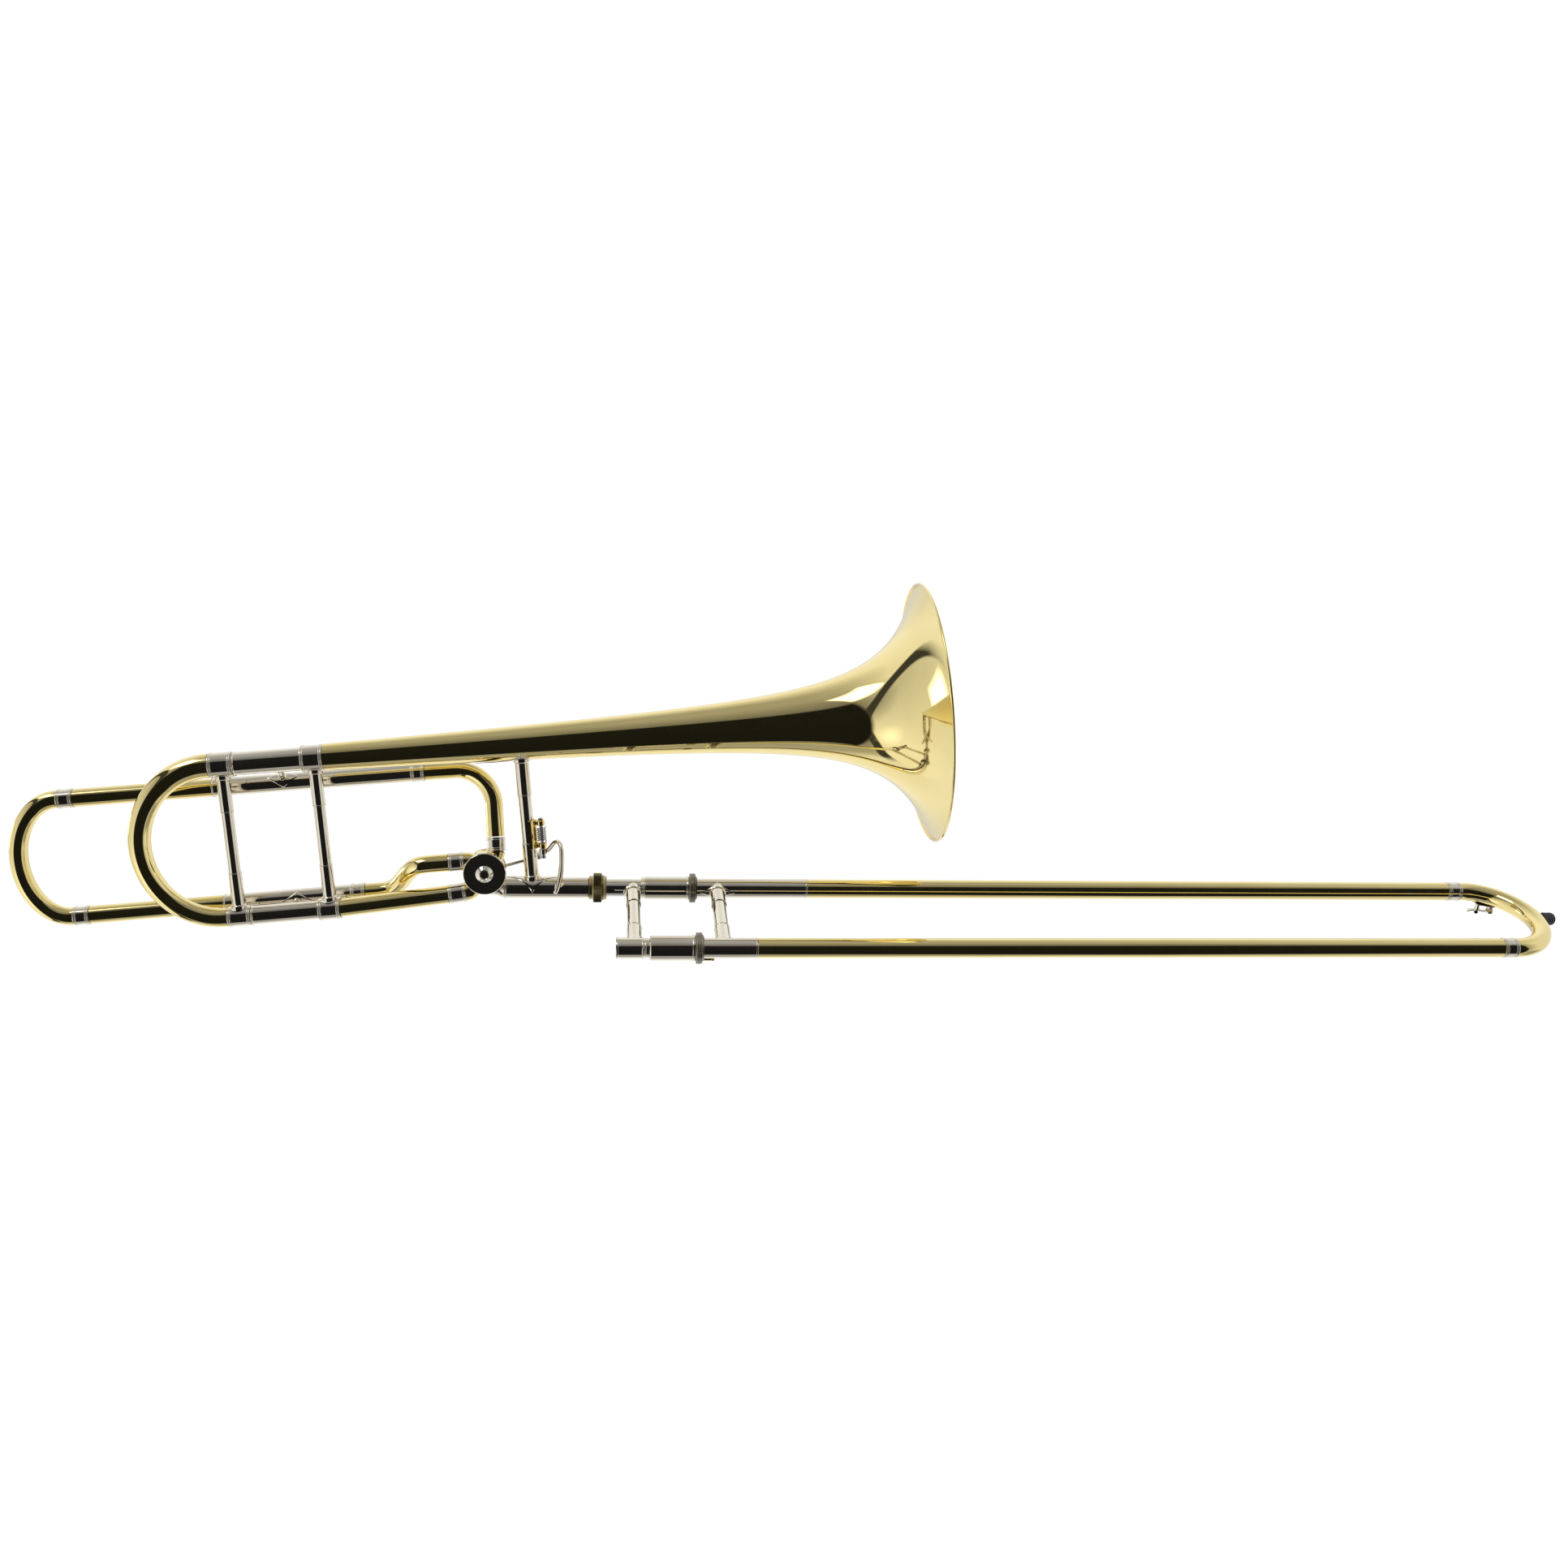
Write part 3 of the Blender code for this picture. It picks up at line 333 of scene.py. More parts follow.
def smooth_path(points, parts):
    """A Catmull-Rom curve through points, each stretch cut into parts."""
    points = [Vector(point) for point in points]
    ends = [2 * points[0] - points[1]] + points + [2 * points[-1] - points[-2]]
    path = []
    for before, start, end, after in zip(ends, ends[1:], ends[2:], ends[3:]):
        for i in range(parts):
            t = i / parts
            line = 2 * start + (end - before) * t
            curve = (2 * before - 5 * start + 4 * end - after) * t**2
            twist = (3 * start - before - 3 * end + after) * t**3
            path.append(0.5 * (line + curve + twist))
    return path + [points[-1]]


def smooth_values(values, parts):
    """Numbers eased in step with smooth_path."""
    path = smooth_path([(value, 0, 0) for value in values], parts)
    return [point.x for point in path]


def arc(centre, across, up, radius_across, radius_up, first, last, parts):
    """Points of an elliptic arc from first to last degrees."""
    angles = [radians(first + (last - first) * i / parts) for i in range(parts + 1)]
    return [Vector(centre) + across * radius_across * cos(a) + up * radius_up * sin(a) for a in angles]


def ribbon(points, widths, thicknesses, edge=0.6, sides=24):
    """A flat bar along points, its width along Y. An edge of 1 is an oval section, less a squarer one."""
    points = [Vector(point) for point in points]
    rings = []
    for point, tangent, width, thickness in zip(points, tangents_of(points), widths, thicknesses):
        wide = (Y - tangent * Y.dot(tangent)).normalized()
        thin = tangent.cross(wide)
        loop = []
        for i in range(sides):
            angle = 2 * pi * i / sides
            across = abs(cos(angle)) ** edge * (1 if cos(angle) > 0 else -1)
            deep = abs(sin(angle)) ** edge * (1 if sin(angle) > 0 else -1)
            loop.append(point + wide * width / 2 * across + thin * thickness / 2 * deep)
        rings.append(loop)
    return loft(rings, False)


def bead(at, radius, half=0.6, rise=0.45):
    """Outline of a half-round bead on a tube."""
    angles = [pi * i / 6 for i in range(7)]
    return [(at - half * cos(angle), radius + rise * sin(angle)) for angle in angles]


def lip(at, radius, soft=0.2):
    """Outline of a softened edge where a shape starts."""
    return [(at, radius - soft), (at + 0.3 * soft, radius - 0.3 * soft), (at + soft, radius)]


def tail(at, radius, soft=0.2):
    """Outline of a softened edge where a shape ends."""
    return [(at - soft, radius), (at - 0.3 * soft, radius - 0.3 * soft), (at, radius - soft)]


def ferrule(low, high, radius, rise=0.4):
    """Outline of a ferrule with a pair of beads at each end."""
    outline = lip(low, radius)
    for at in (low + 0.9, low + 2.3, high - 2.3, high - 0.9):
        outline += bead(at, radius, 0.5, rise)
    return outline + tail(high, radius)


def shaped(base, joined, cuts=()):
    """A mesh with others joined to it, and then others cut from it."""
    objects = []
    for mesh in [base, *joined, *cuts]:
        bmesh.ops.recalc_face_normals(mesh, faces=mesh.faces)
        data = bpy.data.meshes.new("helper")
        mesh.to_mesh(data)
        mesh.free()
        helper = bpy.data.objects.new("helper", data)
        bpy.context.scene.collection.objects.link(helper)
        objects.append(helper)
    for helper, operation in zip(objects[1:], ["UNION"] * len(joined) + ["DIFFERENCE"] * len(cuts)):
        change = objects[0].modifiers.new("change", "BOOLEAN")
        change.operation = operation
        change.solver = "EXACT"
        change.object = helper
    bpy.context.view_layer.update()
    result = objects[0].evaluated_get(bpy.context.evaluated_depsgraph_get()).to_mesh()
    made = bmesh.new()
    made.from_mesh(result)
    objects[0].evaluated_get(bpy.context.evaluated_depsgraph_get()).to_mesh_clear()
    for helper in objects:
        data = helper.data
        bpy.data.objects.remove(helper, do_unlink=True)
        bpy.data.meshes.remove(data)
    return made


def piece(name, mesh, finish, body, *nodes, place=None):
    """A finished piece that rides on a body and stands for CAD nodes, in the body's frame or in place."""
    bmesh.ops.recalc_face_normals(mesh, faces=mesh.faces)
    mesh.transform(Matrix.Scale(MM, 4) @ (place or FRAMES[body]))
    data = bpy.data.meshes.new(name)
    mesh.to_mesh(data)
    mesh.free()
    data.shade_smooth()
    data.set_sharp_from_angle(angle=radians(SHARP_ANGLE))
    data.materials.append(FINISHES[finish])
    obj = bpy.data.objects.new(name, data)
    bpy.context.scene.collection.objects.link(obj)
    # Large faces set the normals at shared corners, so a narrow bevel doesn't bend the shine of a long tube
    shading = obj.modifiers.new("shading", "WEIGHTED_NORMAL")
    shading.weight = 100
    shading.keep_sharp = True
    obj.data = bpy.data.meshes.new_from_object(obj.evaluated_get(bpy.context.evaluated_depsgraph_get()))
    obj.modifiers.clear()
    obj.data.name = name
    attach(obj, body)
    if nodes:
        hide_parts(*nodes)


def tube(node, word, finish, body, start, outline, bore):
    """A turned tube along X that stands for a CAD node and is named after it."""
    piece(f"{node}_{word}", turned(start, X, outline, bore), finish, body, node)


# ---- Braces ----


def reach_tube(point, direction, tube_point, tube_direction, radius):
    """How far from point, along direction, the far surface of a tube lies."""
    offset = point - tube_point
    side = direction - tube_direction * direction.dot(tube_direction)
    level = offset - tube_direction * offset.dot(tube_direction)
    a, b, c = side.dot(side), 2 * side.dot(level), level.dot(level) - radius**2
    return (-b + sqrt(max(b * b - 4 * a * c, 0))) / (2 * a)


def post(foot, foot_tube, head, head_tube, radius, socket):
    """A brace's post, with a socket at each end that is shaped to the tube it meets."""
    foot, head = Vector(foot), Vector(head)
    line = (head - foot).normalized()
    length = (head - foot).length
    clear = length - foot_tube[1] - head_tube[1]
    low, high = foot_tube[1] + clear * socket, length - head_tube[1] - clear * socket
    wide = radius + 0.45
    collar = wide + 0.9
    near, far = foot_tube[1], length - head_tube[1]
    outline = [(near + 1.0, collar), (near + 1.6, collar - 0.2), (near + 2.2, wide)]
    outline += bead(low - 0.6, wide, 0.5, 0.3) + [(low, wide), (low + 0.1, radius)]
    outline += [(high - 0.1, radius), (high, wide)] + bead(high + 0.6, wide, 0.5, 0.3)
    outline += [(far - 2.2, wide), (far - 1.6, collar - 0.2), (far - 1.0, collar)]
    across, up = square_to(line)
    rings = [ring(foot + line * along, across, up, reach, POST_SIDES) for along, reach in outline]
    ends = []
    for start, way, (direction, tube_radius), reach in (
        (foot, line, foot_tube, collar),
        (head, -line, head_tube, collar),
    ):
        loop = []
        for point in ring(start, across, up, reach, POST_SIDES):
            along = reach_tube(point, way, start, Vector(direction).normalized(), tube_radius)
            loop.append(point + way * (along + 0.05))
        ends.append(loop)
    return loft([ends[0]] + rings + [ends[1]], False)


def flange(foot, out, tube_direction, tube_radius, long, wide, points=0.75):
    """A thin diamond plate with hollow sides, wrapped over a tube where a brace meets it.

    long and wide are its half sizes along and round the tube. points below 1 hollow its sides more.
    """
    foot, out, along = Vector(foot), Vector(out).normalized(), Vector(tube_direction).normalized()
    out = (out - along * out.dot(along)).normalized()
    side = along.cross(out)
    turns, thickness = 96, 0.5
    # Share of the way to the edge, and share of the thickness there, so that the edge is rounded off
    section = ((0.25, 1.0), (0.5, 1.0), (0.7, 1.0), (0.84, 1.0), (0.92, 0.75), (1.0, 0.0))

    def spot(u, w, lift):
        angle = w / tube_radius
        return foot + along * u + (out * cos(angle) + side * sin(angle)) * (tube_radius + lift)

    mesh = bmesh.new()
    layers = []
    for lift, sunk in ((thickness, 0.0), (0.0, 0.15)):
        centre = mesh.verts.new(spot(0, 0, lift - sunk))
        loops = []
        for share, height in section:
            loop = []
            for i in range(turns):
                angle = 2 * pi * i / turns
                c, s = abs(cos(angle)) + 1e-9, abs(sin(angle)) + 1e-9
                reach = share / ((c / long) ** points + (s / wide) ** points) ** (1 / points)
                u, w = cos(angle) * reach, sin(angle) * reach
                loop.append(mesh.verts.new(spot(u, w, lift * height - sunk)))
            loops.append(loop)
        layers.append(loops)
        for i in range(turns):
            mesh.faces.new((centre, loops[0][i], loops[0][(i + 1) % turns]))
        for near, far in zip(loops, loops[1:]):
            strip(mesh, near, far)
    strip(mesh, layers[0][-1], layers[1][-1])
    return mesh


def brace(name, body, foot, foot_tube, head, head_tube, radius, plates, socket=0.27):
    """A brace with its two plates, each given as (half length, half width, points), foot first."""
    mesh = post(foot, foot_tube, head, head_tube, radius, socket)
    piece(f"{name}_post", mesh, NICKEL, body, name)
    line = Vector(head) - Vector(foot)
    for end, start, way, met, sizes in (
        ("foot", foot, line, foot_tube, plates[0]),
        ("head", head, -line, head_tube, plates[1]),
    ):
        plate = flange(start, way, *met, *sizes)
        piece(f"{name}_{end}_plate", plate, NICKEL, body)


# ---- Bell section ----


def flare_radius(s):
    """Outer radius of the bell at distance s along its axis."""
    cone = TAIL_RADIUS + BORE_CONE * (s - BELL_TAIL)
    cone_at_rim = TAIL_RADIUS + BORE_CONE * (BELL_RIM - BELL_TAIL)
    opening = ((FLARE_POLE - BELL_RIM) / (FLARE_POLE - s)) ** FLARE_POWER
    return cone + (RIM_RADIUS - cone_at_rim) * opening


def bell():
    """The bell: a spun flare whose edge is rolled back over a wire."""
    outer, inner = [], []
    for i in range(BELL_STATIONS):
        s = BELL_TAIL + (BELL_RIM - 0.8 - BELL_TAIL) * (1 - (1 - i / (BELL_STATIONS - 1)) ** 1.9)
        slope = (flare_radius(s + 0.2) - flare_radius(s - 0.2)) / 0.4
        turn = sqrt(1 + slope**2)
        outer.append((s, flare_radius(s)))
        inner.append((s + slope / turn * BELL_WALL, flare_radius(s) - BELL_WALL / turn))
    last_s, last_r = outer[-1]
    way = Vector((1, slope)).normalized()
    back = Vector((-way.y, way.x))
    wire = 1.15
    centre = Vector((last_s, last_r)) + back * (wire - BELL_WALL) + way * 0.5
    roll = []
    for i in range(15):
        angle = radians(200 - 270 * i / 14)
        spot = centre + (way * cos(angle) + back * sin(angle)) * wire
        roll.append((spot.x, spot.y))
    mesh = turned((0, 0, BELL_H), X, outer[:-1] + roll, inner, BELL_SIDES)
    piece("bell_flare", mesh, BRASS, BELL_SECTION, "bell")


def fixed_tubes():
    """Sockets of the main tuning slide and the leg down to the valve."""
    for side, height, radius, bore in (("upper", BELL_H, 9.2, 8.8), ("lower", LOWER_H, 7.5, 7.05)):
        outer = lip(-222.0, radius + 0.5) + bead(-221.2, radius + 0.3, 0.5, 0.3) + [(-220.4, radius)]
        outer += [(-170.1, radius)] + ferrule(-169.9, -152.6, radius + 1.1)
        tube(f"{side}_tuning_socket", "tube", NICKEL, BELL_SECTION, (0, 0, height), outer, bore)
    start, end = Vector((-152.3, 0, lower_leg_height(-152.3))), Vector((-66.9, 0, lower_leg_height(-66.9)))
    length = (end - start).length
    mesh = turned(start, end - start, lip(0, 7.4, 0.1) + tail(length, 7.4, 0.1), 6.95)
    piece("lower_leg", mesh, BRASS, BELL_SECTION, "lower_leg_tube")


def lower_leg_height(s):
    """Height of the lower main leg, which rises slightly from the tuning slide to the valve."""
    start, end = -152.3, -53.2
    return LOWER_H + (s - start) / (end - start) * 4.3


def valve_casing():
    """Rotor casing with its three port knuckles and their ferrules."""
    rim = lip(0, CASING_RADIUS) + [(2.4, CASING_RADIUS), (2.6, CASING_RADIUS - 0.35)]
    depth = 2 * CASING_HALF
    outline = rim + [(depth - along, radius) for along, radius in reversed(rim)]
    lower_leg_port = [(-53.1, 0, 0.9), (-49.5, 0, 1.6), (-46.5, 0, 4.2), (-43.0, 0, 8.5)]
    f_lower_port = [(-52.5, 0, 26.3), (-48.8, 0, 26.2), (-45.0, 0, 24.2), (-42.0, 0, 21.5)]
    f_upper_port = [(-25.6, 1.2, 33.1), (-27.0, 0.7, 29.5), (-30.0, 0.1, 25.5), (-32.5, 0, 21.5)]
    knuckles = (
        (lower_leg_port, 7.3, (-66.6, 0, 0.1)),
        (f_lower_port, 7.1, (-64.3, 0, 26.3)),
        (f_upper_port, 7.1, (-25.4, 3.4, 43.4)),
    )
    tubes, cuts = [], []
    for points, radius, mouth in knuckles:
        path = smooth_path(points, 6)
        tubes.append(bent_rod(path, radius, BEND_SIDES))
        beyond = Vector(mouth) + (Vector(mouth) - Vector(points[0])).normalized()
        cuts.append(bent_rod([beyond] + path, radius - 0.6, BEND_SIDES))
    cuts.append(cutter(VALVE - Y * 12, VALVE + Y * 12, CASING_BORE, TUBE_SIDES))
    drum = turned(VALVE - Y * CASING_HALF, Y, outline)
    piece("valve_casing_body", shaped(drum, tubes, cuts), BRASS, BELL_SECTION, "valve_casing")
    for (points, radius, mouth), name in zip(knuckles, ("lower_leg", "f_lower", "f_upper")):
        first, second, mouth = Vector(points[0]), Vector(points[1]), Vector(mouth)
        end = first + (second - first).normalized() * 0.8
        length = (end - mouth).length
        mesh = turned(mouth, end - mouth, ferrule(0, length, radius + 0.4, 0.35), radius + 0.02)
        piece(f"{name}_port_ferrule", mesh, NICKEL, BELL_SECTION)


def valve_covers():
    """Front cap, rear bearing plate and the two stop corks."""
    ring_face = [(0.9, 2.8), (0.75, 3.4), (0.2, 3.7), (0, 4.0), (0.1, 4.4)]
    ring_face += [(2.2, 6.7), (2.4, 7.0), (2.5, 7.5)]
    disc = [(2.5, 15.9), (2.62, 16.5), (3.05, 16.95), (3.5, 17.1), (4.5, 17.1), (4.9, 16.8)]
    mesh = turned(VALVE - Y * 15.9, Y, ring_face + disc, None, 144)
    piece("valve_cap_disc", mesh, NICKEL, BELL_SECTION, "valve_cap")
    plate = lip(0, CASING_RADIUS) + tail(2.4, CASING_RADIUS, 0.5)
    plate += [(2.4, 9.0), (2.9, 8.6), (2.9, 5.6), (4.2, 5.2), (4.4, 4.9)]
    mesh = turned(VALVE + Y * 10.9, Y, plate, 3.25)
    piece("valve_bearing_plate", mesh, BRASS, BELL_SECTION, "valve_back_plate")
    for name, angle in (("stop_cork_upper", 25.0), ("stop_cork_lower", 155.0)):
        block = VALVE + Vector((cos(radians(angle)), 0, sin(radians(angle)))) * 11.0
        piece(f"{name}_bumper", rod(block + Y * 13.6, block + Y * 17.5, 2.2, 24, 0.4), "cork",
              BELL_SECTION, name)


def receiver():
    """The slide receiver, cut to fit round the valve casing."""
    cone = [(-36, 5.6), (-28, 6.6), (-23, 8.3)]
    mouth = bead(-22.0, 8.5, 0.7, 0.5) + bead(-20.5, 8.5, 0.6, 0.4) + [(-19.7, 8.6)]
    thread = [(45.4, 8.6), (45.6, 8.4), (45.6, 7.8)]
    for turn in range(8):
        thread += [(46.0 + turn, 7.65), (46.5 + turn, 7.95)]
    bore = [(-36, 5.0), (17.5, 6.3), (17.5, 7.55), (54, 7.55)]
    shell = turned((0, 0, 0), X, cone + mouth + thread + tail(54, 7.8), bore)
    axis = (BELL_FRAME @ VALVE.to_4d()).to_3d()
    room = cutter(axis - Y * 20, axis + Y * 20, CASING_RADIUS + 0.45, TUBE_SIDES)
    piece("slide_receiver_tube", shaped(shell, [], [room]), NICKEL,
          BELL_SECTION, "slide_receiver", place=FRAMES["tenon"])


def drifted(points, end_y, end_slope):
    """A path moved over in Y: it starts out straight and arrives at end_y, leaning by end_slope."""
    lengths = [0.0]
    for a, b in zip(points, points[1:]):
        lengths.append(lengths[-1] + (b - a).length)
    total = lengths[-1]
    start_y = points[0].y
    path = []
    for point, length in zip(points, lengths):
        t = length / total
        y = start_y + (end_y - start_y) * (3 * t**2 - 2 * t**3) + end_slope * total * (t**3 - t**2)
        path.append(Vector((point.x, y, point.z)))
    return path


def f_attachment():
    """Fixed tubes of the F attachment, on the player's left of the main tubes."""
    for side, height, mouth, seam, end in (
        ("upper", F_UPPER_H, -246.0, -89.9, -78.9),
        ("lower", F_LOWER_H, -248.0, -147.6, -135.9),
    ):
        outer = lip(mouth, 7.8) + bead(mouth + 0.8, 7.6, 0.5, 0.4) + [(mouth + 1.5, 7.3), (seam, 7.3)]
        outer += ferrule(seam + 0.1, end, 7.6)
        tube(f"f_{side}_sleeve", "tube", NICKEL, BELL_SECTION, (0, F_SIDE, height), outer, 6.9)
    path = [Vector((-77.5 + 3.0 * i, F_SIDE, F_UPPER_H)) for i in range(8)]
    path += arc((-54, F_SIDE, F_UPPER_H - 29), X, Z, 29, 29, 90, 0, 36)
    path += [Vector((-25.0 - 0.4 * i / 20, F_SIDE, 69.0 - 25.1 * i / 20)) for i in range(1, 21)]
    path = [Vector((-78.6, F_SIDE, F_UPPER_H))] + drifted(path, 3.5, -0.21)
    piece("f_upper_bend_tube", bent_tube(path, F_RADIUS, F_WALL), BRASS, BELL_SECTION, "f_upper_bend")
    s_bend = [(-135.6, F_SIDE, F_LOWER_H), (-122, F_SIDE, F_LOWER_H), (-114, 22.6, 3.6)]
    s_bend += [(-106.5, 17.3, 9.6), (-99, 9.6, 18.2), (-91.5, 3.2, 24.2)]
    s_bend += [(-83, 0.2, 26.2), (-64.6, 0, 26.3)]
    path = smooth_path(s_bend, 9)
    piece("f_lower_bend_tube", bent_tube(path, F_RADIUS, F_WALL), BRASS, BELL_SECTION, "f_lower_bend")


def fixed_braces():
    """Braces of the bell section."""
    slide_axis = (cos(radians(BELL_TILT)), 0, -sin(radians(BELL_TILT)))
    grip = 0.75
    brace("bell_brace", BELL_SECTION, (grip, 0, 0), (slide_axis, 8.6), (grip, 0, BELL_H),
          (X, flare_radius(grip)), 5.2, ((24, 17.5, 0.68), (38, 15.5, 0.62)), 0.3)
    brace("body_brace", BELL_SECTION, (-160.5, 0, LOWER_H), (X, 8.6), (-160.5, 0, BELL_H),
          (X, 10.3), 4.7, ((9, 8, 1.6), (9, 8, 1.6)))
    heights = (("upper", BELL_H, 9.2, F_UPPER_H), ("lower", LOWER_H, 7.5, F_LOWER_H))
    for side, main_h, radius, f_h in heights:
        brace(f"{side}_depth_brace", BELL_SECTION, (-190.0, 0, main_h), (X, radius), (-190.0, F_SIDE, f_h),
              (X, 7.3), 2.0, ((10, 6, 0.9), (13, 9, 0.9)), 0.3)


# ---- Slides of the bell section ----


def main_tuning_slide():
    """The main tuning slide, which pulls back out of the two sockets."""
    body = "main_tuning_slide"
    mouth = -240.6
    centre = (mouth - 1.5, 0, (BELL_H + LOWER_H) / 2)
    path = [Vector((mouth, 0, BELL_H))]
    path += arc(centre, -X, Z, 58.7, (BELL_H - LOWER_H) / 2, 90, -90, 72)
    path += [Vector((mouth, 0, LOWER_H))]
    radii = [9.6 - 2.0 * i / (len(path) - 1) for i in range(len(path))]
    piece("tuning_bow_tube", bent_tube(path, radii, 0.6), BRASS, body, "tuning_bow")
    for side, height, radius, bore in (("upper", BELL_H, 9.7, 8.85), ("lower", LOWER_H, 7.8, 7.1)):
        place = (0, 0, height)
        tube(f"tuning_{side}_ferrule", "band", NICKEL, body, place, ferrule(-240.3, -222.3, radius), bore)
        outer = lip(-240.3, bore - 0.3, 0.1) + tail(-156, bore - 0.3, 0.3)
        tube(f"tuning_{side}_leg", "tube", NICKEL, body, place, outer, bore - 0.75)
    brace("tuning_brace", body, (-231.3, 0, LOWER_H), (X, 7.8), (-231.3, 0, BELL_H), (X, 9.7),
          4.7, ((8, 7, 1.8), (8, 7, 1.8)))


def f_tuning_slide():
    """The F attachment's own tuning slide: a flattened bow on two straight legs."""
    body = "f_tuning_slide"
    bow, depth, half = -365.8, 34.7, (F_UPPER_H - F_LOWER_H) / 2
    path = [Vector((bow, F_SIDE, F_UPPER_H))]
    path += arc((bow - 1.0, F_SIDE, F_LOWER_H + half), -X, Z, depth, half, 90, -90, 64)
    path += [Vector((bow, F_SIDE, F_LOWER_H))]
    piece("f_bow_tube", bent_tube(path, F_RADIUS, F_WALL), BRASS, body, "f_bow")
    start, leg = bow + 0.3, bow + 13.0
    for side, height, sleeve in (("upper", F_UPPER_H, -246.0), ("lower", F_LOWER_H, -248.0)):
        place = (0, F_SIDE, height)
        tube(f"f_{side}_bow_ferrule", "band", NICKEL, body, place, ferrule(start, leg - 0.3, 7.45), 6.6)
        step = sleeve - 0.3
        outer = [(leg, 7.2), (step, 7.2), (step, 6.65)] + tail(-166.0, 6.65, 0.2)
        tube(f"f_{side}_leg", "tube", BRASS, body, place, outer, 6.2)


# ---- Valve action ----


def link_ends():
    """Where the linkage rod meets the lever and the crank, with the trigger at rest."""
    swing = radians(TRIGGER_TURN / 2)
    lever_end = Vector((PIN.x - LEVER_ARM * sin(swing), PIN.y + LEVER_ARM * cos(swing), LINK_H))
    crank = LEVER_ARM * 2 * sin(swing) / sqrt(2)
    crank_end = Vector((VALVE.x - crank / sqrt(2), lever_end.y, VALVE.z - crank / sqrt(2)))
    return lever_end, crank_end, crank


def stop_arm():
    """The crank that the linkage turns, with the finger that meets the corks."""
    _, _, crank = link_ends()
    slope = Vector((1, 0, 1)).normalized()
    throw, finger = VALVE - slope * crank, VALVE + slope * 10.5
    bar = smooth_path([throw + Y * 17.8, VALVE + Y * 17.9, finger + Y * 17.8], 6)
    hub = rod(VALVE + Y * 16.5, VALVE + Y * 19.2, 4.4, 48, 0.3)
    arm = bent_rod(bar, smooth_values([1.25, 1.7, 1.25], 6))
    eye = rod(throw + Y * 16.4, throw + Y * 19.1, 1.9)
    mesh = shaped(hub, [arm, eye], [cutter(VALVE + Y * 10, VALVE + Y * 24, 3.1, 48)])
    piece("stop_arm_crank", mesh, "gold_brass", "rotor_valve", "stop_arm")


def trigger_bracket():
    """The saddle on the bell brace that carries the thumb trigger."""
    grip = Vector((0.75, 0, 0))
    radius, parts = 5.75, 24
    turns = [radians(-80 + 160 * i / parts) for i in range(parts + 1)]
    rings = []
    for height, inset in ((32.6, 0.35), (33.0, 0), (56.0, 0), (56.4, 0.35)):
        centre = grip + Z * height
        outside = [centre + Vector((cos(a), sin(a), 0)) * (radius + 1.5 - inset) for a in turns]
        inside = [centre + Vector((cos(a), sin(a), 0)) * radius for a in turns]
        rings.append(outside + inside[::-1])
    saddle = loft(rings, False)
    pin = Vector((PIN.x, PIN.y, 0))
    arms = []
    for height in (35.0, 53.6):
        root, tip = Vector((6.9, -1.0, height)), pin + Z * height
        path = smooth_path([root, (root + tip) / 2, tip], 6)
        arms.append(bent_rod(path, smooth_values([2.8, 2.3, 2.4], 6)))
        arms.append(rod(tip - Z * 2.3, tip + Z * 2.3, 3.3, 40, 0.9))
    mesh = shaped(saddle, arms, [cutter(pin + Z * 20, pin + Z * 60, 1.6)])
    piece("trigger_bracket_saddle", mesh, "gold_brass", BELL_SECTION, "trigger_bracket")
    head = lip(0, 2.0) + tail(2.0, 2.0) + [(2.0, 1.35), (31.9, 1.35)]
    head += lip(31.9, 2.3, 0.3) + tail(33.4, 2.0, 0.5)
    piece("trigger_pin_screw", turned(pin + Z * 24.2, Z, head, None, SMALL_SIDES), STEEL,
          BELL_SECTION, "trigger_pin")


def trigger_spring():
    """The coil spring on the trigger's pin, with its two straight ends."""
    pin = Vector((PIN.x, PIN.y, 0))
    turns, parts = 7, 28
    path = [pin + Vector((3.2, -5.5, 38.5))]
    for i in range(turns * parts + 1):
        angle = 2 * pi * i / parts
        path.append(pin + Vector((cos(angle) * 3.2, sin(angle) * 3.2, 38.5 + 11.2 * i / (turns * parts))))
    path.append(pin + Vector((3.2, 4.8, 49.8)))
    piece("trigger_spring_coil", bent_rod(path, 0.58, 12), STEEL, BELL_SECTION, "trigger_spring")


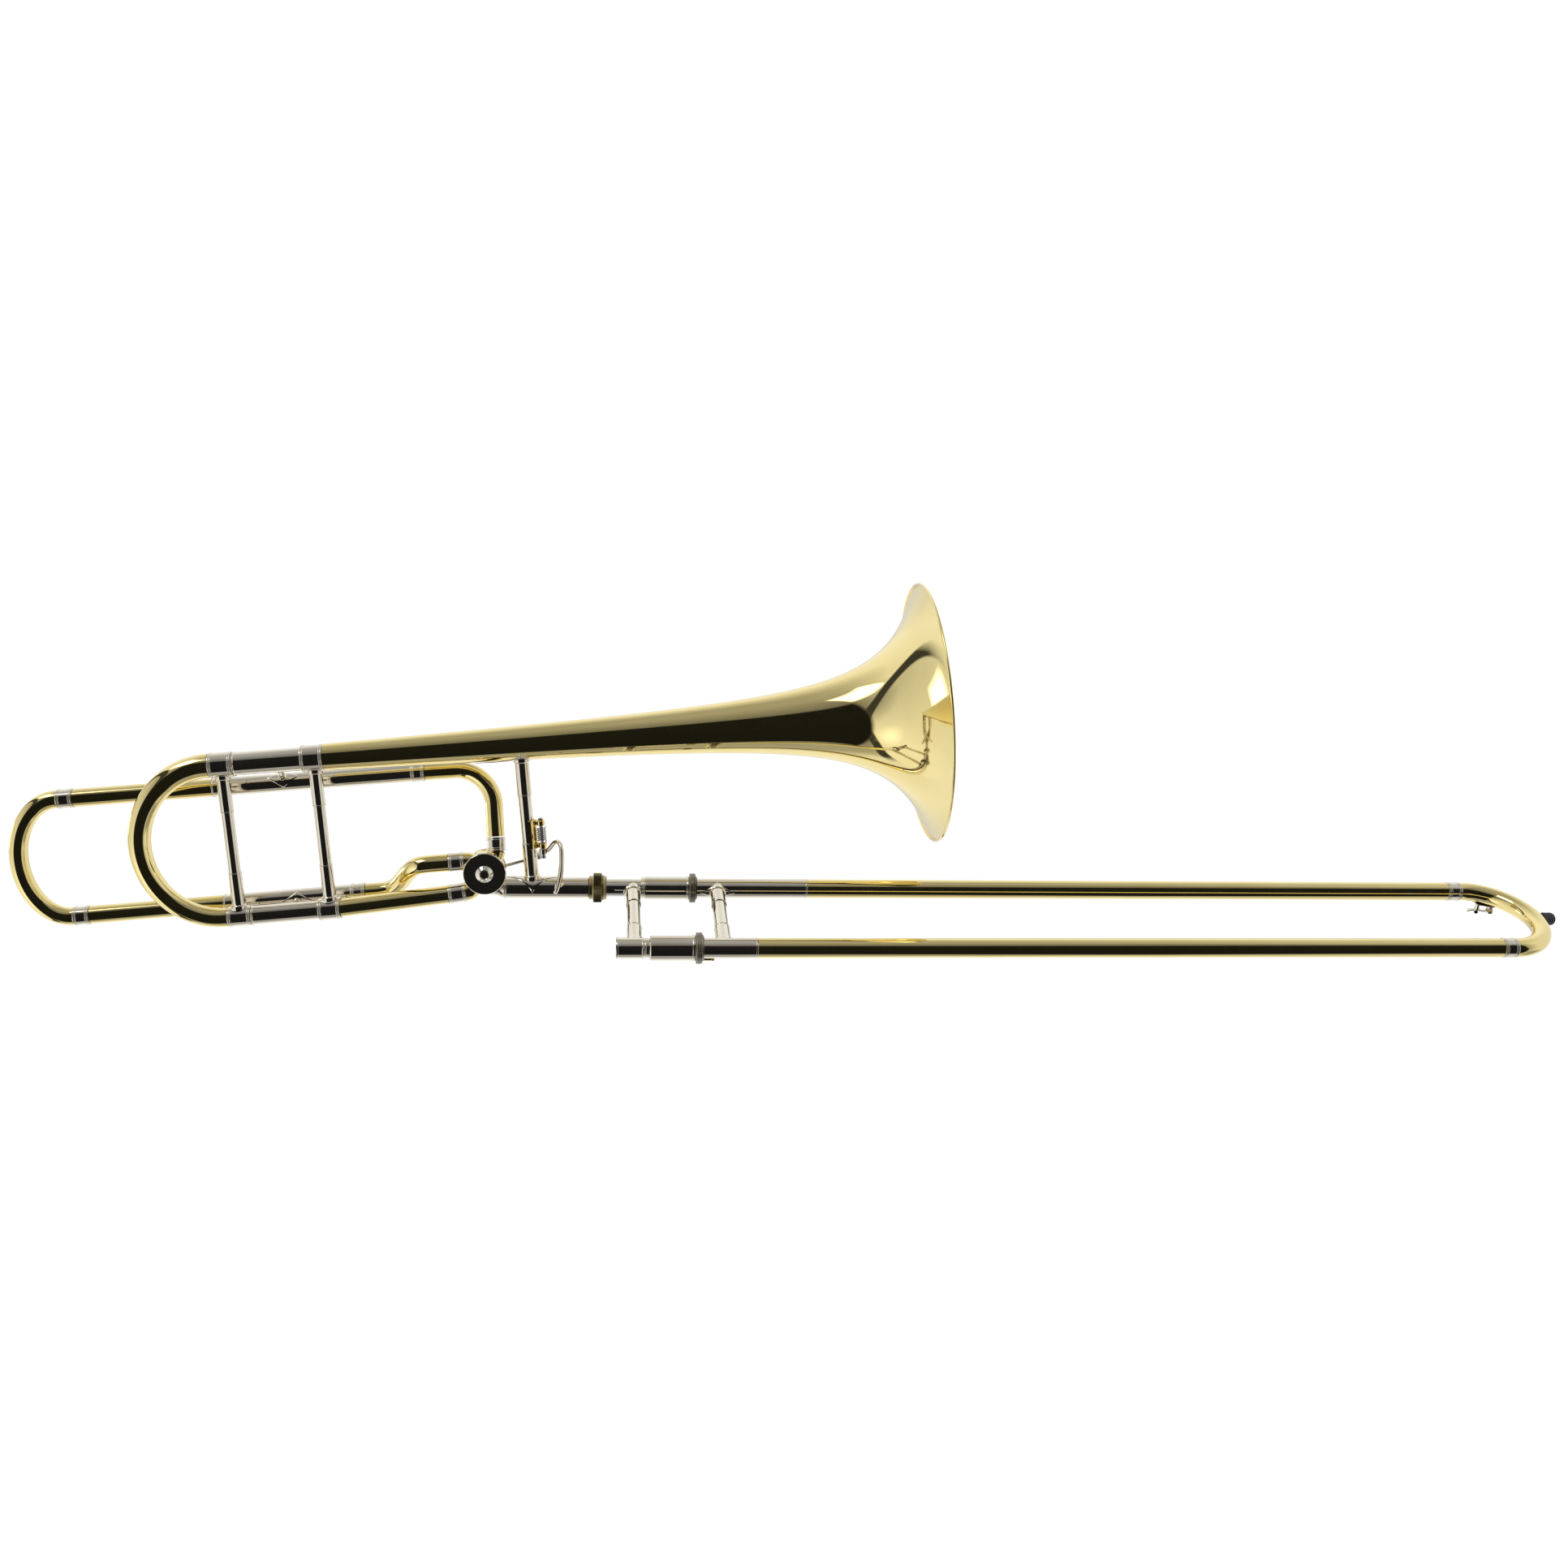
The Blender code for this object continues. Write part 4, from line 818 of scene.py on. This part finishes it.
def trigger_lever():
    """The thumb lever: hub, curved front arm with its blade, and rear arm to the linkage."""
    front = [
        PIN + Vector((1.5, -0.5, 0)),
        (17.0, -8.5, 32.5),
        (21.0, -12.5, 37.6),
        (24.2, -15.8, 39.6),
        (26.6, -19.6, 38.2),
        (27.3, -22.6, 34.0),
        (27.0, -24.6, 26.0),
        (25.3, -25.6, 16.0),
        (22.6, -26.0, 7.0),
        (20.2, -26.2, 1.6),
        (19.3, -26.3, -0.2),
    ]
    widths = [3.4, 3.8, 4.2, 4.8, 5.8, 6.8, 7.8, 8.6, 8.4, 7.0, 4.0]
    thicknesses = [3.8, 3.7, 3.7, 3.7, 3.7, 3.8, 4.1, 4.3, 4.2, 3.7, 2.4]
    blade = ribbon(smooth_path(front, 6), smooth_values(widths, 6), smooth_values(thicknesses, 6), 1.0, 36)
    lever_end, crank_end, _ = link_ends()
    eye = lever_end + Z * 3.4
    rear = [PIN + Vector((0, 1.0, 0)), PIN + Vector((-0.4, 7.0, -1.6)), eye + Vector((1.0, -7, 1.6)), eye]
    rear = smooth_path(rear, 8)
    mesh = shaped(
        rod(PIN - Z * 2.4, PIN + Z * 2.4, 3.1, 40, 0.3),
        [blade, bent_rod(rear, 1.5), rod(eye - Z * 1.2, eye + Z * 1.2, 2.7, 32)],
        [cutter(PIN - Z * 5, PIN + Z * 5, 1.6)],
    )
    piece("trigger_lever_arm", mesh, NICKEL, "thumb_trigger", "trigger_lever")
    mesh = shaped(
        rod(lever_end - Z * 1.6, lever_end + Z * 1.6, 2.8, 32),
        [
            rod(lever_end, crank_end + Y * 0.6, 1.4, 24),
            rod(crank_end - Y * 0.4, crank_end + Y * 2.2, 3.0, 36),
        ],
    )
    piece("linkage_rod_bar", mesh, STEEL, "linkage", "linkage_rod")


# ---- Slide ----


def knurled(start, direction, outline, bore, teeth, depth, sides, crossed=False):
    """A turned ring whose widest band is knurled: straight teeth, or crossed ones that make diamonds."""
    start, direction = Vector(start), Vector(direction)
    across, up = square_to(direction)
    widest = max(radius for _, radius in outline)
    rings = []
    for along, radius in outline:
        if radius < widest:
            rings.append(ring(start + direction * along, across, up, radius, sides))
            continue

        def cut(angle, along=along):
            if not crossed:
                return -depth * (0.5 - 0.5 * cos(teeth * angle))
            lean = along * 2.6
            one, other = cos(teeth * (angle + lean / widest)), cos(teeth * (angle - lean / widest))
            return -depth * (0.5 - 0.25 * (one + other))

        rings.append(ring(start + direction * along, across, up, radius, sides, cut))
    for along, radius in reversed(bore):
        rings.append(ring(start + direction * along, across, up, radius, sides))
    return loft(rings, True)


def knurl_band(low, high, radius, parts):
    """Outline of a knurled band with a chamfer at each side."""
    band = [(low, radius - 0.8), (low + 0.35, radius - 0.3)]
    band += [(low + 0.4 + (high - low - 0.8) * i / parts, radius) for i in range(parts + 1)]
    return band + [(high - 0.35, radius - 0.3), (high, radius - 0.8)]


def inner_slide():
    """Two chromed tubes, cork barrels, a knurled ring and the mouthpiece receiver."""
    body = "inner_slide"
    upper, lower = Vector((0, 0, 0)), Vector((0, -SLIDE_SPACING, 0))
    outer = [(56.6, NECK_RADIUS), (91.0, NECK_RADIUS), (91.0, INNER_RADIUS)] + tail(INNER_END, INNER_RADIUS)
    mesh = turned(upper, X, outer, INNER_BORE)
    piece("upper_inner_slide_tube", mesh, "chromed_tube", body, "upper_inner_tube")
    mesh = turned(lower, X, [(93.6, INNER_RADIUS)] + tail(INNER_END, INNER_RADIUS), INNER_BORE)
    piece("lower_inner_slide_tube", mesh, "chromed_tube", body, "lower_inner_tube")

    barrel = lip(88.3, 8.5) + bead(89.4, 8.5, 0.6, 0.5) + bead(91.0, 8.5, 0.6, 0.5) + [(91.7, 8.6)]
    barrel += lip(91.9, 9.35, 0.4) + [(125.2, 9.35)] + bead(126.6, 9.35, 0.9, 0.5) + tail(127.7, 9.3)
    bore = [(88.3, NECK_RADIUS + 0.25), (95.0, NECK_RADIUS + 0.25), (95.0, 8.4), (127.7, 8.4)]
    tube("upper_cork_barrel", "tube", NICKEL, body, upper, barrel, bore)
    band = knurl_band(128.0, 133.0, 12.1, 14) + [(133.1, 9.6)] + bead(133.8, 9.2, 0.4, 0.2)
    mesh = knurled(upper, X, band, through(band, 8.4), 60, 0.32, 300, True)
    piece("upper_barrel_ring_knurl", mesh, "dark_nickel", body, "upper_barrel_ring")

    barrel = lip(93.4, 9.2, 0.3) + [(94.2, 9.65), (125.6, 9.65)] + bead(127.2, 9.65, 1.0, 0.5)
    barrel += [(128.4, 9.4), (128.4, 8.85)] + tail(133.4, 8.85)
    bore = [(93.4, INNER_RADIUS + 0.25), (96.4, INNER_RADIUS + 0.25), (96.4, 8.4), (133.4, 8.4)]
    tube("lower_cork_barrel", "tube", NICKEL, body, lower, barrel, bore)

    mouth = lip(67.6, 8.3) + bead(68.6, 8.1, 0.7, 0.35) + [(69.6, 8.0)]
    shell = mouth + [(87.0, 8.0)] + bead(88.0, 7.9, 0.7, 0.5) + [(88.9, 7.5)] + bead(90.2, 7.5, 0.6, 0.5)
    shell += [(92.9, 7.4), (93.2, 7.2), (93.2, 6.35)] + tail(230.0, 6.35)
    bore = [(67.6, 6.4), (100.0, 5.6), (230.0, 6.0)]
    tube("mouthpiece_receiver", "tube", NICKEL, body, lower, shell, bore)
    brace("inner_brace", body, (82.0, 0, 0), (X, NECK_RADIUS), (82.0, -SLIDE_SPACING, 0), (X, 8.0),
          5.4, ((8, 8, 1.5), (8, 8, 1.5)))


def slide_rings():
    """The nut that holds the slide in the receiver, the lock ring and the tenon inside the nut."""
    outer = lip(46.0, 9.6, 0.3) + [(48.9, 9.6), (49.3, 9.9)] + knurl_band(49.4, 56.6, 12.0, 2)
    outer += [(56.7, 10.4)] + bead(57.6, 10.1, 0.6, 0.4) + [(58.4, 9.9)] + tail(60.4, 9.5, 0.5)
    bore = [(46.0, 8.65), (56.5, 8.65), (56.5, 7.75), (60.4, 7.75)]
    mesh = knurled((0, 0, 0), X, outer, bore, 84, 0.4, 336)
    piece("lock_nut_knurl", mesh, "bronze_nut", "receiver_nut", "lock_nut")
    outer = knurl_band(128.8, 133.8, 12.2, 14) + [(133.9, 10.2)] + tail(135.0, 10.0, 0.3)
    mesh = knurled((0, -SLIDE_SPACING, 0), X, outer, through(outer, 9.35), 60, 0.32, 300, True)
    piece("slide_lock_ring_knurl", mesh, "dark_nickel", "slide_lock", "slide_lock_ring")
    tenon = lip(20.0, 7.25) + [(54.3, 7.35), (54.3, 7.9)] + tail(56.2, 8.1, 0.2)
    tube("slide_tenon", "tube", NICKEL, "tenon", (0, 0, 0), tenon, 6.6)


def hand_slide():
    """The outer slide that the right hand moves, with its bumper and lock pin."""
    body = "hand_slide"
    for side, place, seam, end in (
        ("upper", Vector((0, 0, 0)), 225.6, UPPER_END),
        ("lower", Vector((0, -SLIDE_SPACING, 0)), 176.8, LOWER_END),
    ):
        outer = lip(97.0, SLEEVE_RADIUS) + [(seam - 1.6, SLEEVE_RADIUS)] + bead(seam - 0.8, 7.95, 0.6, 0.25)
        outer += tail(seam, 7.95)
        tube(f"{side}_slide_sleeve", "tube", NICKEL, body, place, outer, OUTER_BORE)
        outer = lip(seam + 0.1, OUTER_RADIUS, 0.1) + tail(end, OUTER_RADIUS, 0.1)
        mesh = turned(place, X, outer, OUTER_BORE)
        piece(f"{side}_outer_slide_tube", mesh, BRASS, body, f"{side}_slide_tube")
        band = ferrule(end + 0.1, end + 12.3, 8.0, 0.3)
        tube(f"{side}_crook_ferrule", "band", NICKEL, body, place, band, 7.3)
    brace("outer_brace", body, (151.0, 0, 0), (X, SLEEVE_RADIUS), (151.0, -SLIDE_SPACING, 0),
          (X, SLEEVE_RADIUS), 5.6, ((15, 10, 0.8), (15, 10, 0.8)))
    path = arc((CROOK_X, -HALF, 0), X, Y, CROOK_DEPTH, HALF, 90, -90, 64)
    path = [Vector((UPPER_END + 12.5, 0, 0))] + path + [Vector((LOWER_END + 12.5, -SLIDE_SPACING, 0))]
    piece("slide_crook_tube", bent_tube(path, OUTER_RADIUS, 0.5), BRASS, body, "slide_crook")

    apex = CROOK_X + CROOK_DEPTH + OUTER_RADIUS
    end = BUMPER_LENGTH
    outline = [(0.1, 4.9), (0.9, 5.5), (1.6, 5.6), (2.4, 5.3), (2.8, 5.2), (3.2, 5.4), (end - 3.6, 5.5)]
    outline += [(end - 2.2, 5.2), (end - 1.2, 4.6), (end - 0.4, 3.6), (end, 2.6)]
    mesh = turned((apex, -HALF, 0), X, outline, None, 48)
    piece("rubber_bumper_tip", mesh, "black_rubber", body, "rubber_bumper")

    drop = 10.0
    start, end = Vector((135.4, -SLIDE_SPACING, -drop)), Vector((141.6, -SLIDE_SPACING, -drop))
    ball = [(0.8 * (1 - cos(pi * i / 10)) * 2, max(1.7 * sin(pi * i / 10), 0.35)) for i in range(11)]
    foot = Vector((138.4, -SLIDE_SPACING, -SLEEVE_RADIUS))
    tip = turned(end - X * 0.8, X, ball, None, SMALL_SIDES)
    post_outline = [(0, 2.2), (0.4, 1.6), (1.0, 1.1), (2.0, 1.0)]
    mesh = shaped(rod(start, end, 1.3), [tip, turned(foot, -Z, post_outline, None, SMALL_SIDES)])
    piece("lock_pin_hook", mesh, "gold_brass", body, "lock_pin")


def water_key():
    """The water key on its saddle, with its hinge screw and cork."""
    low = -OUTER_RADIUS - 0.3
    bar_z = low - 0.6
    bar = [(-8.5, 0, bar_z), (KEY_HINGE.x, 0, bar_z), (KEY_PAD_X, 0, bar_z), (9.0, 0, bar_z)]
    nipple = [(0, 3.0), (2.7, 2.5), (3.0, 2.2)]
    parts = [turned((KEY_PAD_X, 0, low - 0.7), -Z, nipple, None, SMALL_SIDES)]
    for side in (-1, 1):
        ear = KEY_HINGE + Y * 4.4 * side
        top = Vector((ear.x, ear.y, low - 0.8))
        parts.append(bent_rod([top, ear + Z * 0.5, ear], [1.4, 1.9, 2.0]))
    pin, drain = (KEY_HINGE - Y * 8, KEY_HINGE + Y * 8, 0.95), ((KEY_PAD_X, 0, -20), (KEY_PAD_X, 0, 0), 1.5)
    bar = ribbon(smooth_path(bar, 5), smooth_values([3.0, 10.4, 6.0, 3.0], 5), [1.2] * 16)
    mesh = shaped(bar, parts, [cutter(*pin), cutter(*drain)])
    piece("water_key_bridge", mesh, NICKEL, "hand_slide", "water_key_saddle", place=KEY_FRAME)
    screw = lip(0, 1.7) + tail(1.0, 1.7) + [(1.0, 0.75)] + tail(14.2, 0.75)
    piece("water_key_hinge_screw", turned(KEY_HINGE - Y * 7.9, Y, screw, None, SMALL_SIDES), STEEL,
          "hand_slide", "water_key_screw", place=KEY_FRAME)

    cup = Vector((KEY_PAD_X, 0, -OUTER_RADIUS - 5.7))
    path = [cup + Vector((-1.5, 0, -1.4))]
    path += [KEY_HINGE + Vector(step) for step in ((2.0, 0, -1.1), (-3.4, 0, -2.2), (-6.8, 0, -3.9))]
    bell_cup = turned(cup, -Z, lip(0, 3.6) + [(1.5, 3.6), (2.1, 3.0), (2.4, 2.4)], None, 36)
    touch = ribbon(smooth_path(path, 6), smooth_values([3.2, 3.2, 4.6, 6.4], 6), [1.3] * 19)
    mesh = shaped(rod(KEY_HINGE - Y * 2.1, KEY_HINGE + Y * 2.1, 2.2), [bell_cup, touch], [cutter(*pin)])
    piece("water_key_arm", mesh, NICKEL, "water_key", "water_key_lever")
    top = -OUTER_RADIUS - 4.3
    piece("water_key_pad", rod((KEY_PAD_X, 0, top), (KEY_PAD_X, 0, top - 1.1), 2.8, 32), "cork",
          "water_key", "water_key_cork")


# ---- Studio ----


def studio():
    """White surroundings, and a light tent with a dark open front that only reflections see.

    The tent is laid out by heading (degrees, 0 towards -Y, positive towards +X) and height (degrees).
    """
    world = bpy.data.worlds.new("studio")
    bpy.context.scene.world = world
    world.use_nodes = True
    nodes = Nodes(world.node_tree)
    background = world.node_tree.nodes["Background"]
    way = nodes.add("ShaderNodeSeparateXYZ")
    nodes.link(nodes.add("ShaderNodeTexCoord").outputs["Generated"], way.inputs["Vector"])

    def number(operation, *values):
        node = nodes.add("ShaderNodeMath", operation=operation)
        for socket, value in zip(node.inputs, values):
            nodes.feed(value, socket)
        return node.outputs[0]

    def within(value, low, high, soft):
        """1 between low and high, fading to 0 over soft on each side."""
        rise = nodes.spread(value, 0, 1, low - soft, low + soft)
        fall = nodes.spread(value, 1, 0, high - soft, high + soft)
        return number("MULTIPLY", rise, fall)

    def over(below, value, mask):
        """value laid over what is below, where the mask is 1."""
        mix = nodes.add("ShaderNodeMix", data_type="FLOAT")
        for name, amount in (("Factor", mask), ("A", below), ("B", value)):
            nodes.feed(amount, mix.inputs[name])
        return mix.outputs["Result"]

    backward = number("MULTIPLY", way.outputs["Y"], -1)
    heading = number("DEGREES", number("ARCTAN2", way.outputs["X"], backward))
    height = number("DEGREES", number("ARCSINE", way.outputs["Z"]))
    turned_away = number("ABSOLUTE", heading)

    def patch(left, right, low, high, soft=2.0):
        return number("MULTIPLY", within(heading, left, right, soft), within(height, low, high, soft))

    # White walls all round but dim towards the open front, with a grey top and a grey floor in front
    left_wall = nodes.spread(heading, 0.92, 0.20, -100, -38)
    right_wall = nodes.spread(heading, 0.18, 0.85, 38, 72)
    light = over(left_wall, right_wall, nodes.spread(heading, 0, 1, -5, 5))
    light = over(light, 1.02, nodes.spread(turned_away, 0, 1, 115, 150))
    behind = nodes.spread(turned_away, 0, 1, 142, 154)
    light = over(light, 0.7, number("MULTIPLY", behind, within(height, -26, 8, 8)))
    light = over(light, 0.42, nodes.spread(height, 0, 1, 40, 76))
    in_front = within(turned_away, -5, 80, 20)
    light = over(light, 0.42, number("MULTIPLY", within(height, -95, -58, 4), in_front))
    light = over(light, 0.42, nodes.spread(height, 1, 0, -86, -70))
    light = over(light, 0.35, patch(60, 95, -52, -24, 4))

    # Round side panel on the left with a dark seam over its top and under its near side
    across = number("DIVIDE", number("ADD", heading, 85), 46)
    along = number("DIVIDE", number("ADD", height, 12), 45)
    distance = number("SQRT", number("ADD", number("POWER", across, 2), number("POWER", along, 2)))
    shaded = nodes.spread(number("ADD", height, number("MULTIPLY", heading, 0.8)), 1, 0.4, -45, -12)
    panel = number("MULTIPLY", nodes.spread(height, 1.0, 0.62, -30, 25), shaded)
    light = over(light, panel, within(distance, -1, 1.0, 0.02))
    above = nodes.spread(height, 0, 1, -4, 10)
    near_side = number("MAXIMUM", above, nodes.spread(heading, 0, 1, -105, -88))
    seam = number("MULTIPLY", within(distance, 0.98, 1.15, 0.015), within(heading, -130, -40, 4))
    light = over(light, 0.05, number("MULTIPLY", seam, near_side))

    # Lamps
    light = over(light, 3.0, patch(-88, -44, 42, 60))
    light = over(light, 3.0, patch(-124, -109, -8, 2))
    light = over(light, 1.7, patch(-66, -54, -36, -22, 9))

    # The dark room in front of the tent
    dark = 0.012
    light = over(light, dark, patch(-42, 47, -62, 38))
    light = over(light, dark, patch(30, 50, -46, 6))

    glossy = nodes.add("ShaderNodeLightPath").outputs["Is Glossy Ray"]
    background.inputs["Color"].default_value = (1, 1, 1, 1)
    nodes.link(over(1.15, light, glossy), background.inputs["Strength"])


def floor():
    """A plain pale floor well below the instrument."""
    mesh = bmesh.new()
    bmesh.ops.create_grid(mesh, x_segments=1, y_segments=1, size=8)
    bmesh.ops.translate(mesh, vec=(0, 0, -0.45), verts=mesh.verts)
    data = bpy.data.meshes.new("floor")
    mesh.to_mesh(data)
    mesh.free()
    material, nodes, shader, place = new_material("pale_floor")
    tone = nodes.noise(place, 2, 2)
    nodes.link(nodes.blend(tone, (0.93, 0.93, 0.93), (0.95, 0.95, 0.95)), shader.inputs["Base Color"])
    shader.inputs["Roughness"].default_value = 0.9
    shader.inputs["Specular IOR Level"].default_value = 0.0
    data.materials.append(material)
    obj = bpy.data.objects.new("floor", data)
    bpy.context.scene.collection.objects.link(obj)
    obj.visible_glossy = False


def softbox(name, place, target, size, energy):
    """A square area light aimed at a point."""
    light = bpy.data.lights.new(name, "AREA")
    light.shape = "RECTANGLE"
    light.size, light.size_y = size
    light.energy = energy
    obj = bpy.data.objects.new(name, light)
    obj.location = place
    obj.rotation_euler = (Vector(target) - Vector(place)).to_track_quat("-Z", "Y").to_euler()
    obj.visible_glossy = False
    bpy.context.scene.collection.objects.link(obj)


def camera():
    """The camera stands in front of the left half, a little above, and looks slightly down and right."""
    yaw, pitch, roll = radians(7.031), radians(-9.813), radians(1.940)
    forward = Vector((sin(yaw) * cos(pitch), cos(yaw) * cos(pitch), sin(pitch)))
    right = Vector((cos(yaw), -sin(yaw), 0))
    up = right.cross(forward)
    rolled_right = right * cos(roll) + up * sin(roll)
    rolled_up = up * cos(roll) - right * sin(roll)
    data = bpy.data.cameras.new("camera")
    data.lens = 34.634
    data.sensor_width = 36.0
    obj = bpy.data.objects.new("camera", data)
    turn = Matrix((rolled_right, rolled_up, -forward)).transposed().to_4x4()
    obj.matrix_world = Matrix.Translation((0.0545, -1.2115, 0.2993)) @ turn
    bpy.context.scene.collection.objects.link(obj)
    bpy.context.scene.camera = obj


def dress_rotor():
    """The rotor keeps its CAD shape inside the casing and gets the finish its record slot names."""
    slots = {part["node"]: part["material_slot"] for part in frame["record"]["subparts"]}
    materials = frame["nodes"]["rotor"].data.materials
    materials.clear()
    materials.append(FINISHES[slots["rotor"]])


camera()
bell()
fixed_tubes()
valve_casing()
valve_covers()
receiver()
f_attachment()
fixed_braces()
main_tuning_slide()
f_tuning_slide()
stop_arm()
trigger_bracket()
trigger_spring()
trigger_lever()
inner_slide()
slide_rings()
hand_slide()
water_key()
dress_rotor()
studio()
floor()
softbox("key_light", (-0.6, -0.9, 1.3), (0.2, 0, 0.1), (0.5, 0.35), 12)
softbox("side_light", (1.3, -0.8, 0.7), (0.3, 0, 0.1), (0.3, 0.5), 8)
bpy.context.scene.view_settings.view_transform = "Standard"
